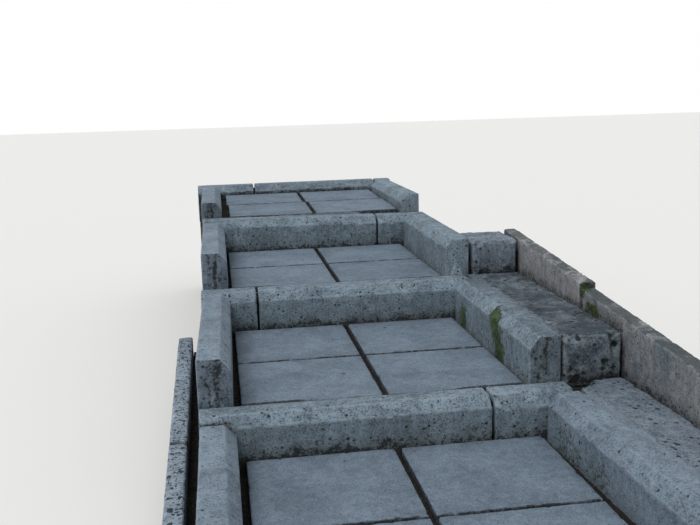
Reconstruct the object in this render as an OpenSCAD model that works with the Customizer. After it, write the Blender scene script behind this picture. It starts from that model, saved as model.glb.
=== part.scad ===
// Garden steps of precast kerb stones and square paving slabs.
// Four landings climb from the ground to a terrace edge. Each is closed on three sides by kerbs with
// one chamfered top edge. A rough shoulder and a thin outer kerb follow the right side, and a thin
// sloping edging follows the left side.
// Millimetres. +X is to the right when going up, +Y is uphill, +Z is up.
// The origin is the centre of the underside, on the ground at the foot of the first riser.

/* [Kerb stones] */
// Width of a kerb stone
kerb_w = 120; // [90:1:150]
// Height of a kerb stone
kerb_h = 250; // [210:1:280]
// Length of a whole kerb stone
kerb_len = 1000; // [900:1:1080]
// Width of the chamfer on the exposed top edge
chamfer_w = 38; // [20:1:50]
// Height of the chamfer on the exposed top edge
chamfer_h = 44; // [20:1:60]
// Height of the chamfer on the long stone of the second riser, which is lower
low_chamfer_h = 36; // [20:1:60]
// Radius of the moulded edges of the kerb stones
kerb_arris = 8; // [4:1:12]
// Open joint between two stones of a row
butt_joint = 6; // [2:1:10]

/* [Paving slabs] */
// Side of a square paving slab
slab = 500; // [400:1:520]
// Thickness of a paving slab
slab_t = 50; // [40:1:60]
// Bevel round the top of a paving slab
slab_bevel = 4; // [2:1:8]
// Depth of the cut slabs at the back of the top landing
cut_slab = 470; // [300:1:500]
// Joint between the left and the right column of slabs
centre_joint = 20; // [10:1:40]
// Joint between the two rows of slabs on a landing
row_joint = 10; // [4:1:20]
// Joint between a riser kerb and the slabs behind it
front_joint = 30; // [10:1:40]
// Joint between the slabs and the next riser
back_joint = 5; // [2:1:15]
// Joint between the slabs and the line of the left kerbs
left_joint = 29; // [15:1:40]
// Joint between the slabs and the line of the right kerbs
right_joint = 10; // [9:1:20]

/* [Levels] */
// Rise to each landing, from the ground up
landing_rises = [155, 134, 166, 185]; // [120:1:200]
// Rise of the top landing from its front to its back
top_fall = 28; // [0:1:40]
// Rise from the back of the top landing to the terrace edge
terrace_rise = 66; // [40:1:100]
// Height of each riser kerb over the landing behind it
riser_lips = [5, 14, 10, -5]; // [-10:1:20]
// Height of each left kerb over the next landing, the last one over the terrace edge
left_lips = [-2, 17, -7, 3]; // [-10:1:20]
// Height of each right kerb over the next landing, the last one over the terrace edge
right_lips = [18, 15, 2, 2]; // [-10:1:20]

/* [Riser joints] */
// Width of the left stone in the first and the third riser
short_stone = 257; // [200:1:400]
// Width of the left stone in the fourth riser
fourth_stone = 1025; // [900:1:1080]
// Width of the left stone in the terrace edge
terrace_left = 392; // [300:1:450]
// Width of the right stone in the terrace edge
terrace_right = 113; // [60:1:300]
// Width of the terrace edge past the side kerbs, on each side
terrace_overhang = 39; // [0:1:60]
// Distance of the end stone of the third riser inside the right side
third_riser_inset = 37; // [0:1:60]

/* [As laid] */
// Fall of each riser row and of the terrace edge to the right, over the width of the flight
riser_falls = [0, 0, 0, 20, 0]; // [-20:1:30]
// Distance of each left kerb to the right of its line
left_shifts = [5, 6, 9, 0]; // [0:1:12]
// Turn of each left kerb in degrees, with its front end to the right where positive
left_turns = [0, -0.8, 0, 0]; // [-1:0.1:1]
// Distance of each right kerb to the right of its line
right_shifts = [21, -5, -5, 12]; // [-5:1:25]
// Turn of each right kerb in degrees, with its front end to the right where positive
right_turns = [1.6, -0.5, -0.9, 0]; // [-1:0.1:1.6]
// Distance of the front slabs of each landing to the right of their line
front_shifts = [0, -4, -6, 16]; // [-6:1:16]
// Distance of the back slabs of each landing to the right of their line
back_shifts = [0, -4, -6, 4]; // [-6:1:16]
// Distance of each shoulder block to the right of its line
block_shifts = [8, -11, -9]; // [-11:1:12]
// Turn of each shoulder block in degrees, with its front end to the right where positive
block_turns = [0.8, -0.6, 0]; // [-0.8:0.1:0.8]
// Distance of each outer kerb stone to the right of its line, from the top
outer_shifts = [0, -8, 0]; // [-8:1:8]

/* [Shoulder and outer kerb] */
// Width of each shoulder block
block_widths = [200, 228, 228]; // [150:1:260]
// Height of a shoulder block
block_h = 200; // [160:1:220]
// Depth of the top shoulder block
top_block = 275; // [200:1:400]
// Radius of the worn edges of a shoulder block
block_arris = 14; // [6:1:24]
// Gap on each side of the shoulder blocks
block_gap = 10; // [4:1:20]
// Height of each shoulder block over the next landing
block_lips = [16, 15, -10]; // [-10:1:20]
// Slope of the outer kerb in degrees
outer_angle = 4.6; // [2:0.1:6]
// Step down from one outer kerb stone to the next
outer_step = 19; // [0:1:30]
// Top of the outer kerb at its upper end
outer_top = 636; // [600:1:680]

/* [Edging] */
// Thickness of the edging stones and of the outer kerb stones
edging_w = 65; // [50:1:80]
// Height of an edging stone
edging_h = 250; // [210:1:280]
// Length of a whole edging stone
edging_len = 1000; // [800:1:1080]
// Radius of the top edges of the edging stones
edging_arris = 9; // [4:1:16]
// Gap between the left kerbs and the edging
edging_gap = 41; // [20:1:60]
// Top of the left edging beside the back of the second riser
edging_top = 190; // [170:1:220]
// Slope of the left edging in degrees
edging_angle = 5.7; // [3:0.1:6.2]
// Depth of the fill beside the edging below the edging's top
fill_drop = 75; // [50:1:90]

/* [Hidden] */
LANDINGS = 4;
ARC_STEPS = 5;
KERB_COLOUR = "#a5a49c";
SLAB_COLOUR = "#969b9e";
BLOCK_COLOUR = "#85867f";
EDGING_COLOUR = "#9ba09f";
BED_COLOUR = "#7c766a";

// Plan of the flight, measured from the centre joint and from the face of the first riser
slab_edge = centre_joint / 2 + slab;
left_in = -slab_edge - left_joint;
left_out = left_in - kerb_w;
right_in = slab_edge + right_joint;
right_out = right_in + kerb_w;
row_mid = (left_out + right_out) / 2;
bay = kerb_w + front_joint + slab + row_joint + slab + back_joint;
top_bay = bay - slab + cut_slab;
terrace_y = (LANDINGS - 1) * bay + top_bay;
terrace_x0 = left_out - terrace_overhang;
terrace_x1 = terrace_x0 + terrace_left;
terrace_x3 = right_out + terrace_overhang;
terrace_x2 = terrace_x3 - terrace_right;

function riser_y(i) = i < LANDINGS ? i * bay : terrace_y;
function landing_y(i) = riser_y(i) + kerb_w;
function landing_depth(i) = riser_y(i + 1) - landing_y(i);

// Levels, from the ground up
function sum_to(list, i) = i < 0 ? 0 : list[i] + sum_to(list, i - 1);
function landing_z(i) = sum_to(landing_rises, i);
function fall(i) = i == LANDINGS - 1 ? top_fall : 0;
function tilt(i) = atan(fall(i) / landing_depth(i));
terrace_z = landing_z(LANDINGS - 1) + top_fall + terrace_rise;
function next_z(i) = i < LANDINGS - 1 ? landing_z(i + 1) : terrace_z;
function riser_top(i) = i < LANDINGS ? landing_z(i) + riser_lips[i] : terrace_z;
function left_top(i) = next_z(i) + left_lips[i];
function right_top(i) = next_z(i) + right_lips[i];
function stone_foot(top, height) = max(0, top - height);
function riser_slope(i) = atan(riser_falls[i] / (right_out - left_out));

// How far the side kerbs of landing i reach as they lie, with the swing of each turn in whole millimetres
function side_length(i) = landing_depth(i) - butt_joint;
function swing(i, turns) = ceil(side_length(i) / 2 * abs(sin(turns[i])));
function left_face(i) = left_in + left_shifts[i] + swing(i, left_turns);
function right_face(i) = right_in + right_shifts[i] - swing(i, right_turns);
function right_side(i) = right_out + right_shifts[i] + swing(i, right_turns);

// Shoulder, outer kerb and edging
block_mid = right_out + block_gap + max(block_widths) / 2;
outer_x = right_out + max(block_widths) + 2 * block_gap;
outer_end = landing_y(2) + top_block;
edging_x = left_out - edging_gap - edging_w;
edging_mid = landing_y(1);
function block_top(i) = landing_z(i + 1) + block_lips[i];
function block_end(i) = i < 2 ? landing_y(i + 1) : outer_end;
function outer_y(k) = outer_end - k * (edging_len + butt_joint);
function outer_z(k) = outer_top - k * ((edging_len + butt_joint) * tan(outer_angle) + outer_step);
function edging_z(y) = edging_top + (y - edging_mid) * tan(edging_angle);

// Centre of the plan, which stands on the origin
mid_x = (edging_x + outer_x + edging_w) / 2;
mid_y = (terrace_y + kerb_w) / 2;

// Rounded corner of an outline: the arc of radius r that is tangent to both sides at corner p
function unit(v) = v / norm(v);
function corner(before, p, after, r) =
    let (u = unit(before - p), v = unit(after - p), half = acos(u * v) / 2)
    let (c = p + unit(u + v) * r / sin(half), start = p + u * r / tan(half) - c)
    let (turn = cross(u, v) < 0 ? 180 - 2 * half : 2 * half - 180)
    [for (k = [0:ARC_STEPS]) let (a = turn * k / ARC_STEPS)
        c + [start[0] * cos(a) - start[1] * sin(a), start[0] * sin(a) + start[1] * cos(a)]];
function outline(points, radii) =
    let (n = len(points))
    [for (i = [0:n - 1]) each (radii[i] == 0 ? [points[i]]
        : corner(points[(i + n - 1) % n], points[i], points[(i + 1) % n], radii[i]))];

// Section of a kerb stone: the exposed face is at 0, the chamfer joins it to the top
function kerb_section(height, chamfer = chamfer_h) = outline(
    [[0, 0], [kerb_w, 0], [kerb_w, height], [chamfer_w, height], [0, height - chamfer]],
    [0, 0, kerb_arris, kerb_arris, kerb_arris]);
// Section of a stone with two equal top edges
function post_section(width, height, radius) = outline(
    [[0, 0], [width, 0], [width, height], [0, height]], [0, 0, radius, radius]);

module centred() { translate([-mid_x, -mid_y, 0]) children(); }
module along_x(length, section) { rotate([90, 0, 90]) linear_extrude(length) polygon(section); }
module along_y(length, section) {
    translate([0, length, 0]) rotate([90, 0, 0]) linear_extrude(length) polygon(section);
}
module block(x0, x1, y0, y1, z0, z1) { translate([x0, y0, z0]) cube([x1 - x0, y1 - y0, z1 - z0]); }

// One stone of riser row i, from x0 to x1, laid to the fall of its row
module riser_stone(i, x0, x1, chamfer = chamfer_h) {
    foot = stone_foot(riser_top(i), kerb_h);
    color(KERB_COLOUR) centred() translate([row_mid, riser_y(i), foot]) rotate([0, riser_slope(i), 0])
        translate([x0 - row_mid, 0, 0]) along_x(x1 - x0, kerb_section(riser_top(i) - foot, chamfer));
}
// Riser row i in two stones, with the joint centred at split
module riser_left(i, split, chamfer = chamfer_h) {
    riser_stone(i, left_out, split - butt_joint / 2, chamfer);
}
module riser_right(i, split, end = right_out) { riser_stone(i, split + butt_joint / 2, end); }

// One side kerb of landing i, upright on its middle: it reaches from the riser below to the next one
module side_stone(i, top) {
    translate([-kerb_w / 2, -side_length(i) / 2, 0])
        along_y(side_length(i), kerb_section(top - stone_foot(top, kerb_h)));
}
module lay_side_stone(i, x, top, turn) {
    translate([x, landing_y(i) + landing_depth(i) / 2, stone_foot(top, kerb_h)])
        rotate([0, 0, turn]) children();
}
module left_kerb(i) {
    color(KERB_COLOUR) centred()
        lay_side_stone(i, left_in + left_shifts[i] - kerb_w / 2, left_top(i), left_turns[i])
        mirror([1, 0, 0]) side_stone(i, left_top(i));
}
module right_kerb(i) {
    color(KERB_COLOUR) centred()
        lay_side_stone(i, right_in + right_shifts[i] + kerb_w / 2, right_top(i), right_turns[i])
        side_stone(i, right_top(i));
}

// One paving slab, bevelled round its top face
module paving_slab(depth) {
    function section(size) = [[0, 0], [size, 0], [size, slab_t - slab_bevel], [size - slab_bevel, slab_t],
        [slab_bevel, slab_t], [0, slab_t - slab_bevel]];
    intersection() {
        along_x(slab, section(depth));
        along_y(depth, section(slab));
    }
}
// One row of two slabs on landing i, its front edge at y0, laid to the fall of the landing
module slab_row(i, y0, depth, shift) {
    color(SLAB_COLOUR) centred() translate([shift, landing_y(i), landing_z(i)])
        rotate([tilt(i), 0, 0]) for (x = [-slab_edge, centre_joint / 2])
            translate([x, y0 - landing_y(i), -slab_t]) paving_slab(depth);
}
module front_slabs(i) { slab_row(i, landing_y(i) + front_joint, slab, front_shifts[i]); }
module back_slabs(i) {
    depth = i < LANDINGS - 1 ? slab : cut_slab;
    slab_row(i, riser_y(i + 1) - back_joint - depth, depth, back_shifts[i]);
}

// Shoulder block beside landing i, level with the kerbs
module shoulder_block(i) {
    depth = block_end(i) - landing_y(i) - butt_joint;
    color(BLOCK_COLOUR) centred()
        translate([block_mid + block_shifts[i], (landing_y(i) + block_end(i)) / 2, block_top(i) - block_h])
        rotate([0, 0, block_turns[i]]) translate([-block_widths[i] / 2, -depth / 2, 0])
        along_y(depth, post_section(block_widths[i], block_h, block_arris));
}

// Thin stone laid to a fall between y0 and y1, with upright ends, cut off where it would pass the ground
module sloping_stone(x, y0, y1, top_at_y0, angle) {
    spare = edging_h;
    intersection() {
        translate([x, y0, top_at_y0]) rotate([angle, 0, 0]) translate([0, -spare, -edging_h])
            along_y(y1 - y0 + 2 * spare, post_section(edging_w, edging_h, edging_arris));
        block(x, x + edging_w, y0, y1, 0, terrace_z);
    }
}
module outer_kerb(k) {
    y1 = outer_y(k);
    y0 = max(0, y1 - edging_len);
    color(EDGING_COLOUR) centred()
        sloping_stone(outer_x + outer_shifts[k], y0, y1, outer_z(k) - (y1 - y0) * tan(outer_angle),
            outer_angle);
}
// Edging stone k, from the top: the joint of the first two lies beside the second riser
module left_edging(k) {
    y1 = edging_mid + edging_len - k * (edging_len + butt_joint);
    y0 = max(0, y1 - edging_len);
    color(EDGING_COLOUR) centred() sloping_stone(edging_x, y0, y1, edging_z(y0), edging_angle);
}

// Bed of landing i: it carries the riser at its front, the side kerbs and the slabs
module landing_bed(i) {
    y0 = landing_y(i);
    y1 = riser_y(i + 1);
    x0 = left_face(i);
    x1 = right_face(i);
    under = slab_t / cos(tilt(i));
    foot = riser_top(i) - kerb_h;
    half_fall = riser_falls[i] / 2;
    color(BED_COLOUR) centred() union() {
        if (foot > 0)
            translate([0, riser_y(i), 0]) along_y(kerb_w, [[left_out, 0], [right_out, 0],
                [right_out, foot - half_fall], [left_out, foot + half_fall]]);
        block(left_out, x0, y0, y1, 0, stone_foot(left_top(i), kerb_h));
        block(x1, right_side(i), y0, y1, 0, stone_foot(right_top(i), kerb_h));
        translate([x0, 0, 0]) along_x(x1 - x0,
            [[y0, 0], [y1, 0], [y1, landing_z(i) + fall(i) - under], [y0, landing_z(i) - under]]);
    }
}
module terrace_footing() {
    color(BED_COLOUR) centred()
        block(terrace_x0, terrace_x3, terrace_y, terrace_y + kerb_w, 0, terrace_z - kerb_h);
}
// Bed of the shoulder blocks and of the outer kerb beside them
module shoulder_bed() {
    under = edging_h / cos(outer_angle);
    function level(i) = block_top(i) - block_h;
    color(BED_COLOUR) centred() union() {
        for (i = [0:2])
            block(right_side(i), outer_x, landing_y(i), min(riser_y(i + 1), block_end(i)), 0, level(i));
        for (i = [0:1])
            block(right_out, outer_x, riser_y(i + 1), landing_y(i + 1), 0, level(i));
        for (k = [0:2]) {
            y1 = outer_y(k);
            y0 = k < 2 ? outer_y(k + 1) : 0;
            translate([outer_x, 0, 0]) along_x(edging_w, [[y0, 0], [y1, 0], [y1, outer_z(k) - under],
                [y0, outer_z(k) - under - (y1 - y0) * tan(outer_angle)]]);
        }
    }
}
// Fill between the left kerbs and the edging, which runs out where the ground reaches its top
module edging_fill() {
    y1 = edging_mid + edging_len;
    x0 = left_out - edging_gap;
    color(BED_COLOUR) centred() intersection() {
        translate([x0, 0, 0]) along_x(edging_gap, [[0, -edging_h], [y1, -edging_h],
            [y1, edging_z(y1) - fill_drop], [0, edging_z(0) - fill_drop]]);
        block(x0, left_out, 0, y1, 0, terrace_z);
    }
}

module riser_1_left() { riser_left(0, left_out + short_stone); }
module riser_1_right() { riser_right(0, left_out + short_stone); }
module riser_2_left() { riser_left(1, left_out + kerb_len, low_chamfer_h); }
module riser_2_right() { riser_right(1, left_out + kerb_len); }
module riser_3_left() { riser_left(2, left_out + short_stone); }
module riser_3_right() { riser_right(2, left_out + short_stone, right_out - third_riser_inset); }
module riser_4_left() { riser_left(3, left_out + fourth_stone); }
module riser_4_right() { riser_right(3, left_out + fourth_stone); }
module terrace_kerb_left() { riser_stone(LANDINGS, terrace_x0, terrace_x1); }
module terrace_kerb_middle() { riser_stone(LANDINGS, terrace_x1 + butt_joint, terrace_x2 - butt_joint); }
module terrace_kerb_right() { riser_stone(LANDINGS, terrace_x2, terrace_x3); }

riser_1_left();
riser_1_right();
riser_2_left();
riser_2_right();
riser_3_left();
riser_3_right();
riser_4_left();
riser_4_right();
terrace_kerb_left();
terrace_kerb_middle();
terrace_kerb_right();
left_kerb(0);  // left_kerb_1
left_kerb(1);  // left_kerb_2
left_kerb(2);  // left_kerb_3
left_kerb(3);  // left_kerb_4
right_kerb(0);  // right_kerb_1
right_kerb(1);  // right_kerb_2
right_kerb(2);  // right_kerb_3
right_kerb(3);  // right_kerb_4
front_slabs(0);  // slabs_1_front
back_slabs(0);  // slabs_1_back
front_slabs(1);  // slabs_2_front
back_slabs(1);  // slabs_2_back
front_slabs(2);  // slabs_3_front
back_slabs(2);  // slabs_3_back
front_slabs(3);  // slabs_4_front
back_slabs(3);  // slabs_4_back
shoulder_block(0);  // shoulder_block_1
shoulder_block(1);  // shoulder_block_2
shoulder_block(2);  // shoulder_block_3
outer_kerb(0);  // outer_kerb_1
outer_kerb(1);  // outer_kerb_2
outer_kerb(2);  // outer_kerb_3
left_edging(0);  // left_edging_1
left_edging(1);  // left_edging_2
left_edging(2);  // left_edging_3
landing_bed(0);  // landing_bed_1
landing_bed(1);  // landing_bed_2
landing_bed(2);  // landing_bed_3
landing_bed(3);  // landing_bed_4
terrace_footing();
shoulder_bed();
edging_fill();
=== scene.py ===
import bpy
import numpy as np
from mathutils import Matrix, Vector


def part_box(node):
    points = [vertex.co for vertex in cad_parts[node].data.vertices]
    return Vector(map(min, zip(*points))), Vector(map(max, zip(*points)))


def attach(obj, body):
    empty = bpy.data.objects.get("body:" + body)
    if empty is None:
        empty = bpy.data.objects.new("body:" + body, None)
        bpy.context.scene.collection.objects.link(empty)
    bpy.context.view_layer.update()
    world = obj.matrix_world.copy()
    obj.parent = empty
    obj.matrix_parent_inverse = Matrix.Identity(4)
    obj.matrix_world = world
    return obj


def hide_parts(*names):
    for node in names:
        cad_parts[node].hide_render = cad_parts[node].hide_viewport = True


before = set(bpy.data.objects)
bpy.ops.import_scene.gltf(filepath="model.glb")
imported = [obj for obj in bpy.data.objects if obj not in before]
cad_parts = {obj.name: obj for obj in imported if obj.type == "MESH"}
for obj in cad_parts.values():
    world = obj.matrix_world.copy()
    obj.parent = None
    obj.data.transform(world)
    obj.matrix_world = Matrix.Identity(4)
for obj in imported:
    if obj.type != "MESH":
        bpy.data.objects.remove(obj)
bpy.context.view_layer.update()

# Sizes in metres. Whatever else is needed is read from the boxes of the frame's nodes.
CHAMFER_WIDTH = 0.038
CHAMFER_HEIGHT = 0.044
LOW_CHAMFER_HEIGHT = 0.036
KERB_ARRIS = 0.008
END_ARRIS = 0.007
END_WEAR = 0.0016
SLAB_ARRIS = 0.005
SLAB_THICKNESS = 0.050
CENTRE_JOINT = 0.020
TOP_FALL = 0.028
BLOCK_ARRIS = 0.014
EDGING_ARRIS = 0.009
EDGING_HEIGHT = 0.250
OUTER_ANGLE = np.radians(4.6)
EDGING_ANGLE = np.radians(5.7)
BED_ARRIS = 0.005

# How the stones lie: turns about the upright, the front end to the right where positive, and the fall of the
# fourth riser to the right
LEFT_TURNS = np.radians([0.0, -0.8, 0.0, 0.0])
RIGHT_TURNS = np.radians([1.6, -0.5, -0.9, 0.0])
BLOCK_TURNS = np.radians([0.8, -0.6, 0.0])
RISER_FALLS = [0.0, 0.0, 0.0, 0.020]

# Depth of the earth in the joints, below the face of the slabs
FRONT_FILL = 0.004
CENTRE_FILL = 0.022
LEFT_FILL = 0.034
RIGHT_FILL = 0.020
ROW_FILL = 0.024
BACK_FILL = 0.008
# How much lower the sand behind a riser lies towards the sides
SUNK_FILL = 0.022
# The same below the tops of the stones: between two riser stones, and on both sides of each shoulder block
RISER_FILL = 0.030
INNER_FILLS = [0.003, 0.006, 0.110]
OUTER_FILLS = [0.045, 0.060, 0.080]
# How far this earth stays behind the front ends of the blocks
END_FILL = 0.050
# Earth in the broken corner of the first block: how far it reaches to the front, which is twice as far as
# to the right, and its depth below the top
CORNER_REACH = 0.150
CORNER_FILL = 0.026
# How far the earth reaches in between the stones, out of sight
LAP = 0.012

# Height of the surrounding ground along the flight, which has stained what was buried in it
GROUND_Y = [-2.375, 0.0, 2.375]
GROUND_LEFT = [0.030, 0.280, 0.640]
GROUND_RIGHT = [0.310, 0.530, 0.640]

LANDINGS = 4
BLOCKS = 3
THIN_STONES = 3
RNG_SEED = 41

# Camera: place, turn, tilt and roll of the photograph's view
CAMERA_PLACE = [-0.6423, -3.9718, 1.3248]
CAMERA_YAW = -0.1455
CAMERA_PITCH = 0.1863
CAMERA_ROLL = -0.0283
FOCAL_PIXELS = 879.96
FRAME_PIXELS = 700
SENSOR_WIDTH = 36.0


# Random fields

# Rows of the two tables of random numbers
TABLE_SIZE = 4096
# Large odd numbers that scatter the cells of space and the seeds over the rows
CELL_FACTORS = (73856093, 19349663, 83492791)
SEED_FACTOR = 2971215073
MIXING_FACTOR = 2246822519
# Cells by which space is shifted, so that no cell has a negative number
CELL_SHIFT = 500.0


def unit(v):
    """Each vector divided by its length."""
    return v / np.maximum(np.linalg.norm(v, axis=-1, keepdims=True), 1e-12)


table_draws = np.random.default_rng(RNG_SEED)
SLOPES = unit(table_draws.normal(size=(TABLE_SIZE, 3)))
RANDOMS = table_draws.random((TABLE_SIZE, 4))


def cell_row(cell, seed):
    """Table row for each whole-number cell of space: its three numbers and the seed are multiplied by large
    factors and joined by exclusive or, and the bits of the result are mixed."""
    x, y, z = (cell[..., axis] * factor for axis, factor in enumerate(CELL_FACTORS))
    key = x ^ y ^ z ^ (seed * SEED_FACTOR)
    key = (key ^ (key >> 15)) * MIXING_FACTOR
    return ((key ^ (key >> 13)) >> 3) % TABLE_SIZE


def noise(points, size, seed):
    """Gradient noise: every corner of a grid of cubes of this size has a random slope, and the values of
    the eight slopes round a point are blended by 6 t^5 - 15 t^4 + 10 t^3. The factor 1.5 brings it to about
    -1 to 1, and the seed picks the pattern."""
    place = points / size + CELL_SHIFT
    cell = np.floor(place).astype(np.int64)
    local = place - cell
    fade = local ** 3 * (local * (local * 6 - 15) + 10)
    total = np.zeros(len(points))
    for corner in np.ndindex(2, 2, 2):
        slope = SLOPES[cell_row(cell + corner, seed)]
        weight = np.prod(np.where(corner, fade, 1 - fade), axis=1)
        total += weight * np.sum(slope * (local - corner), axis=1)
    return 1.5 * total


def rough_noise(points, size, seed):
    """Sum of three noises, each half as large and half as strong as the one before."""
    return sum(noise(points, size / 2 ** k, seed + k) * 0.5 ** k for k in range(3))


def hollows(points, spacing, radius, share, seed):
    """Round hollows: each cube of space has one of random place and size, or none. The depth of a hollow is
    1 - (distance / radius)^2 inside it and 0 outside."""
    place = points / spacing + CELL_SHIFT
    cell = np.floor(place).astype(np.int64)
    depth = np.zeros(len(points))
    for step in np.ndindex(3, 3, 3):
        near = cell + np.array(step) - 1
        chance = RANDOMS[cell_row(near, seed)]
        reach = radius * (0.35 + 0.65 * chance[:, 3]) * (RANDOMS[cell_row(near, seed + 7)][:, 0] < share)
        away = np.linalg.norm(place - near - chance[:, :3], axis=1) * spacing
        depth = np.maximum(depth, 1 - (away / np.maximum(reach, 1e-6)) ** 2)
    return depth


def smooth(low, high, x):
    """0 below low, 1 above high, 3 t^2 - 2 t^3 between."""
    t = np.clip((x - low) / (high - low), 0, 1)
    return t * t * (3 - 2 * t)


# Surfaces

# What each point of a surface tells its material, from 0 to 1
MARKS = ("wear", "grime_and_shade", "earth", "moss", "pale")
# Most distance between the points of a rounded corner
ARC_STEP = 0.004


def pieces_in(length, step, least):
    """Number of equal pieces of a length, each at most a step long. A millionth of a piece too much doesn't
    add one, so that the last digit of a size never changes the mesh."""
    return max(least, int(np.ceil(length / step - 1e-6)))


def outline(corners, radii, steps):
    """Closed section, anticlockwise. Side k runs from corner k to the next, with points about steps[k]
    apart, at the parts t - 0.55 sin(2 pi t) / (2 pi) of its length and so closer near its ends. Each corner
    is an arc tangent to both of its sides. Gives the points, their outward normals and the distance along
    the outline to the nearest corner."""
    corners = np.array(corners, float)
    before, after = np.roll(corners, 1, axis=0), np.roll(corners, -1, axis=0)
    to_before, to_after = unit(before - corners), unit(after - corners)
    half = np.arccos(np.clip(np.sum(to_before * to_after, axis=1), -1, 1)) / 2
    radii = np.array(radii, float)
    reach = radii / np.tan(half)
    centres = corners + unit(to_before + to_after) * (radii / np.sin(half))[:, None]
    points, normals, travel, middles = [], [], [], []
    walked = 0.0
    for k, corner in enumerate(corners):
        first = np.array([-to_before[k][1], to_before[k][0]])
        bend = np.pi - 2 * half[k]
        arc_points = 1 + pieces_in(radii[k] * bend, min(steps[k], steps[k - 1], ARC_STEP), 2)
        angle = np.linspace(0, bend, arc_points)
        turned = np.stack([first[0] * np.cos(angle) - first[1] * np.sin(angle),
                           first[0] * np.sin(angle) + first[1] * np.cos(angle)], axis=1)
        points.append(centres[k] + radii[k] * turned)
        normals.append(turned)
        travel.append(walked + radii[k] * angle)
        middles.append(walked + radii[k] * bend / 2)
        walked += radii[k] * bend
        follow = (k + 1) % len(corners)
        side = np.linalg.norm(after[k] - corner) - reach[k] - reach[follow]
        pieces = pieces_in(side, steps[k], 2)
        t = np.arange(1, pieces) / pieces
        t = t - 0.55 * np.sin(2 * np.pi * t) / (2 * np.pi)
        points.append(corner + to_after[k] * (reach[k] + side * t)[:, None])
        normals.append(np.repeat(turned[-1:], len(t), axis=0))
        travel.append(walked + side * t)
        walked += side
    travel = np.concatenate(travel)
    gap = np.abs(travel[:, None] - np.array(middles)[None, :])
    return np.concatenate(points), np.concatenate(normals), np.minimum(gap, walked - gap).min(axis=1)


class Shell:
    """Closed surface of stations along a length, each a ring of points, with a pole at both ends."""

    def __init__(self, section, length, end_radius, step, end_rings):
        """The section is carried along the length. At each end it draws in along a quarter circle of
        end_radius, at 90, 60 and 30 degrees of it, and then closes on its middle in rings."""
        ring, ring_normals, ring_edge = section
        middle = ring.mean(axis=0)
        turn = np.radians([90, 60, 30])
        count = pieces_in(length - 2 * end_radius, step, 2)
        body = np.linspace(end_radius, length - end_radius, count + 1)
        first, last = (np.arange(1, n) / n for n in end_rings)
        shrink = np.concatenate([first, np.ones(2 * len(turn) + len(body)), last[::-1]])
        draw = end_radius * (1 - np.cos(turn))
        inset = np.concatenate([np.full(len(first), draw[0]), draw, 0 * body, draw[::-1],
                                np.full(len(last), draw[0])])
        rise = end_radius * (1 - np.sin(turn))
        along = np.concatenate([0 * first, rise, body, length - rise[::-1], 0 * last + length])
        drawn = ring[None] - ring_normals[None] * inset[:, None, None]
        flat = middle + shrink[:, None, None] * (drawn - middle)
        self.shape = flat.shape[:2]
        self.cap_rings = len(first) + 1, len(last) + 1
        grid = np.concatenate([flat, np.broadcast_to(along[:, None, None], (*self.shape, 1))], axis=2)
        poles = np.array([[*middle, 0.0], [*middle, length]])
        self.points = np.concatenate([poles[:1], grid.reshape(-1, 3), poles[1:]])
        to_side = np.abs(np.sum(ring_normals * (ring - middle), axis=1))
        cap = (1 - shrink[:, None]) * to_side[None]
        to_end = np.minimum(along, length - along)[:, None]
        edge = np.where(shrink[:, None] < 1, cap, np.minimum(ring_edge[None], to_end))
        self.edge = np.concatenate([[to_side.min()], edge.ravel(), [to_side.min()]])
        near_end = np.broadcast_to(to_end < end_radius * 0.6, self.shape)
        self.at_end = np.concatenate([[1.0], near_end.ravel(), [1.0]])
        self.marks = {mark: np.zeros(len(self.points)) for mark in MARKS}

    def place(self, origin, across, upright, onward):
        """Lays the two directions of the section and the direction of the length into the frame."""
        axes = np.array([across, upright, onward], float)
        self.points = np.array(origin, float) + self.points @ axes
        return self

    def mark(self, name, values):
        """Keeps the stronger of the old and the new mark, which is one value or one for each point."""
        self.marks[name] = np.maximum(self.marks[name], values)

    def normals(self):
        """Cross product of the direction round the ring and the direction along the length, turned outwards.
        The points of each flat end share one normal."""
        stations, ring = self.shape
        grid = self.points[1:-1].reshape(stations, ring, 3)
        ends = [np.broadcast_to(p, (1, ring, 3)) for p in (self.points[0], self.points[-1])]
        tall = np.concatenate([ends[0], grid, ends[1]])
        around = np.roll(grid, -1, axis=1) - np.roll(grid, 1, axis=1)
        normal = unit(np.cross(around, tall[2:] - tall[:-2]))
        for end in (slice(0, self.cap_rings[0]), slice(stations - self.cap_rings[1], stations)):
            normal[end] = unit(normal[end].sum(axis=(0, 1)))
        normal = np.concatenate([[normal[0].mean(axis=0)], normal.reshape(-1, 3), [normal[-1].mean(axis=0)]])
        outward = np.sum(normal * (self.points - self.points.mean(axis=0))) > 0
        return unit(normal if outward else -normal)

    def faces(self):
        """Corner numbers of the triangles at the poles and of the quads between stations."""
        stations, ring = self.shape
        index = 1 + np.arange(stations * ring).reshape(stations, ring)
        beside = np.roll(index, -1, axis=1)
        low, high = np.full(ring, 0), np.full(ring, stations * ring + 1)
        fans = np.concatenate([np.stack([low, beside[0], index[0]], axis=1),
                               np.stack([high, index[-1], beside[-1]], axis=1)])
        quads = np.stack([index[:-1], beside[:-1], beside[1:], index[1:]], axis=2).reshape(-1, 4)
        a, b, c = (self.points[quads[:, k]] for k in (0, 1, 2))
        outward = np.sum(np.cross(b - a, c - a) * (a - self.points.mean(axis=0))) > 0
        return (fans, quads) if outward else (fans[:, ::-1], quads[:, ::-1])


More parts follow.
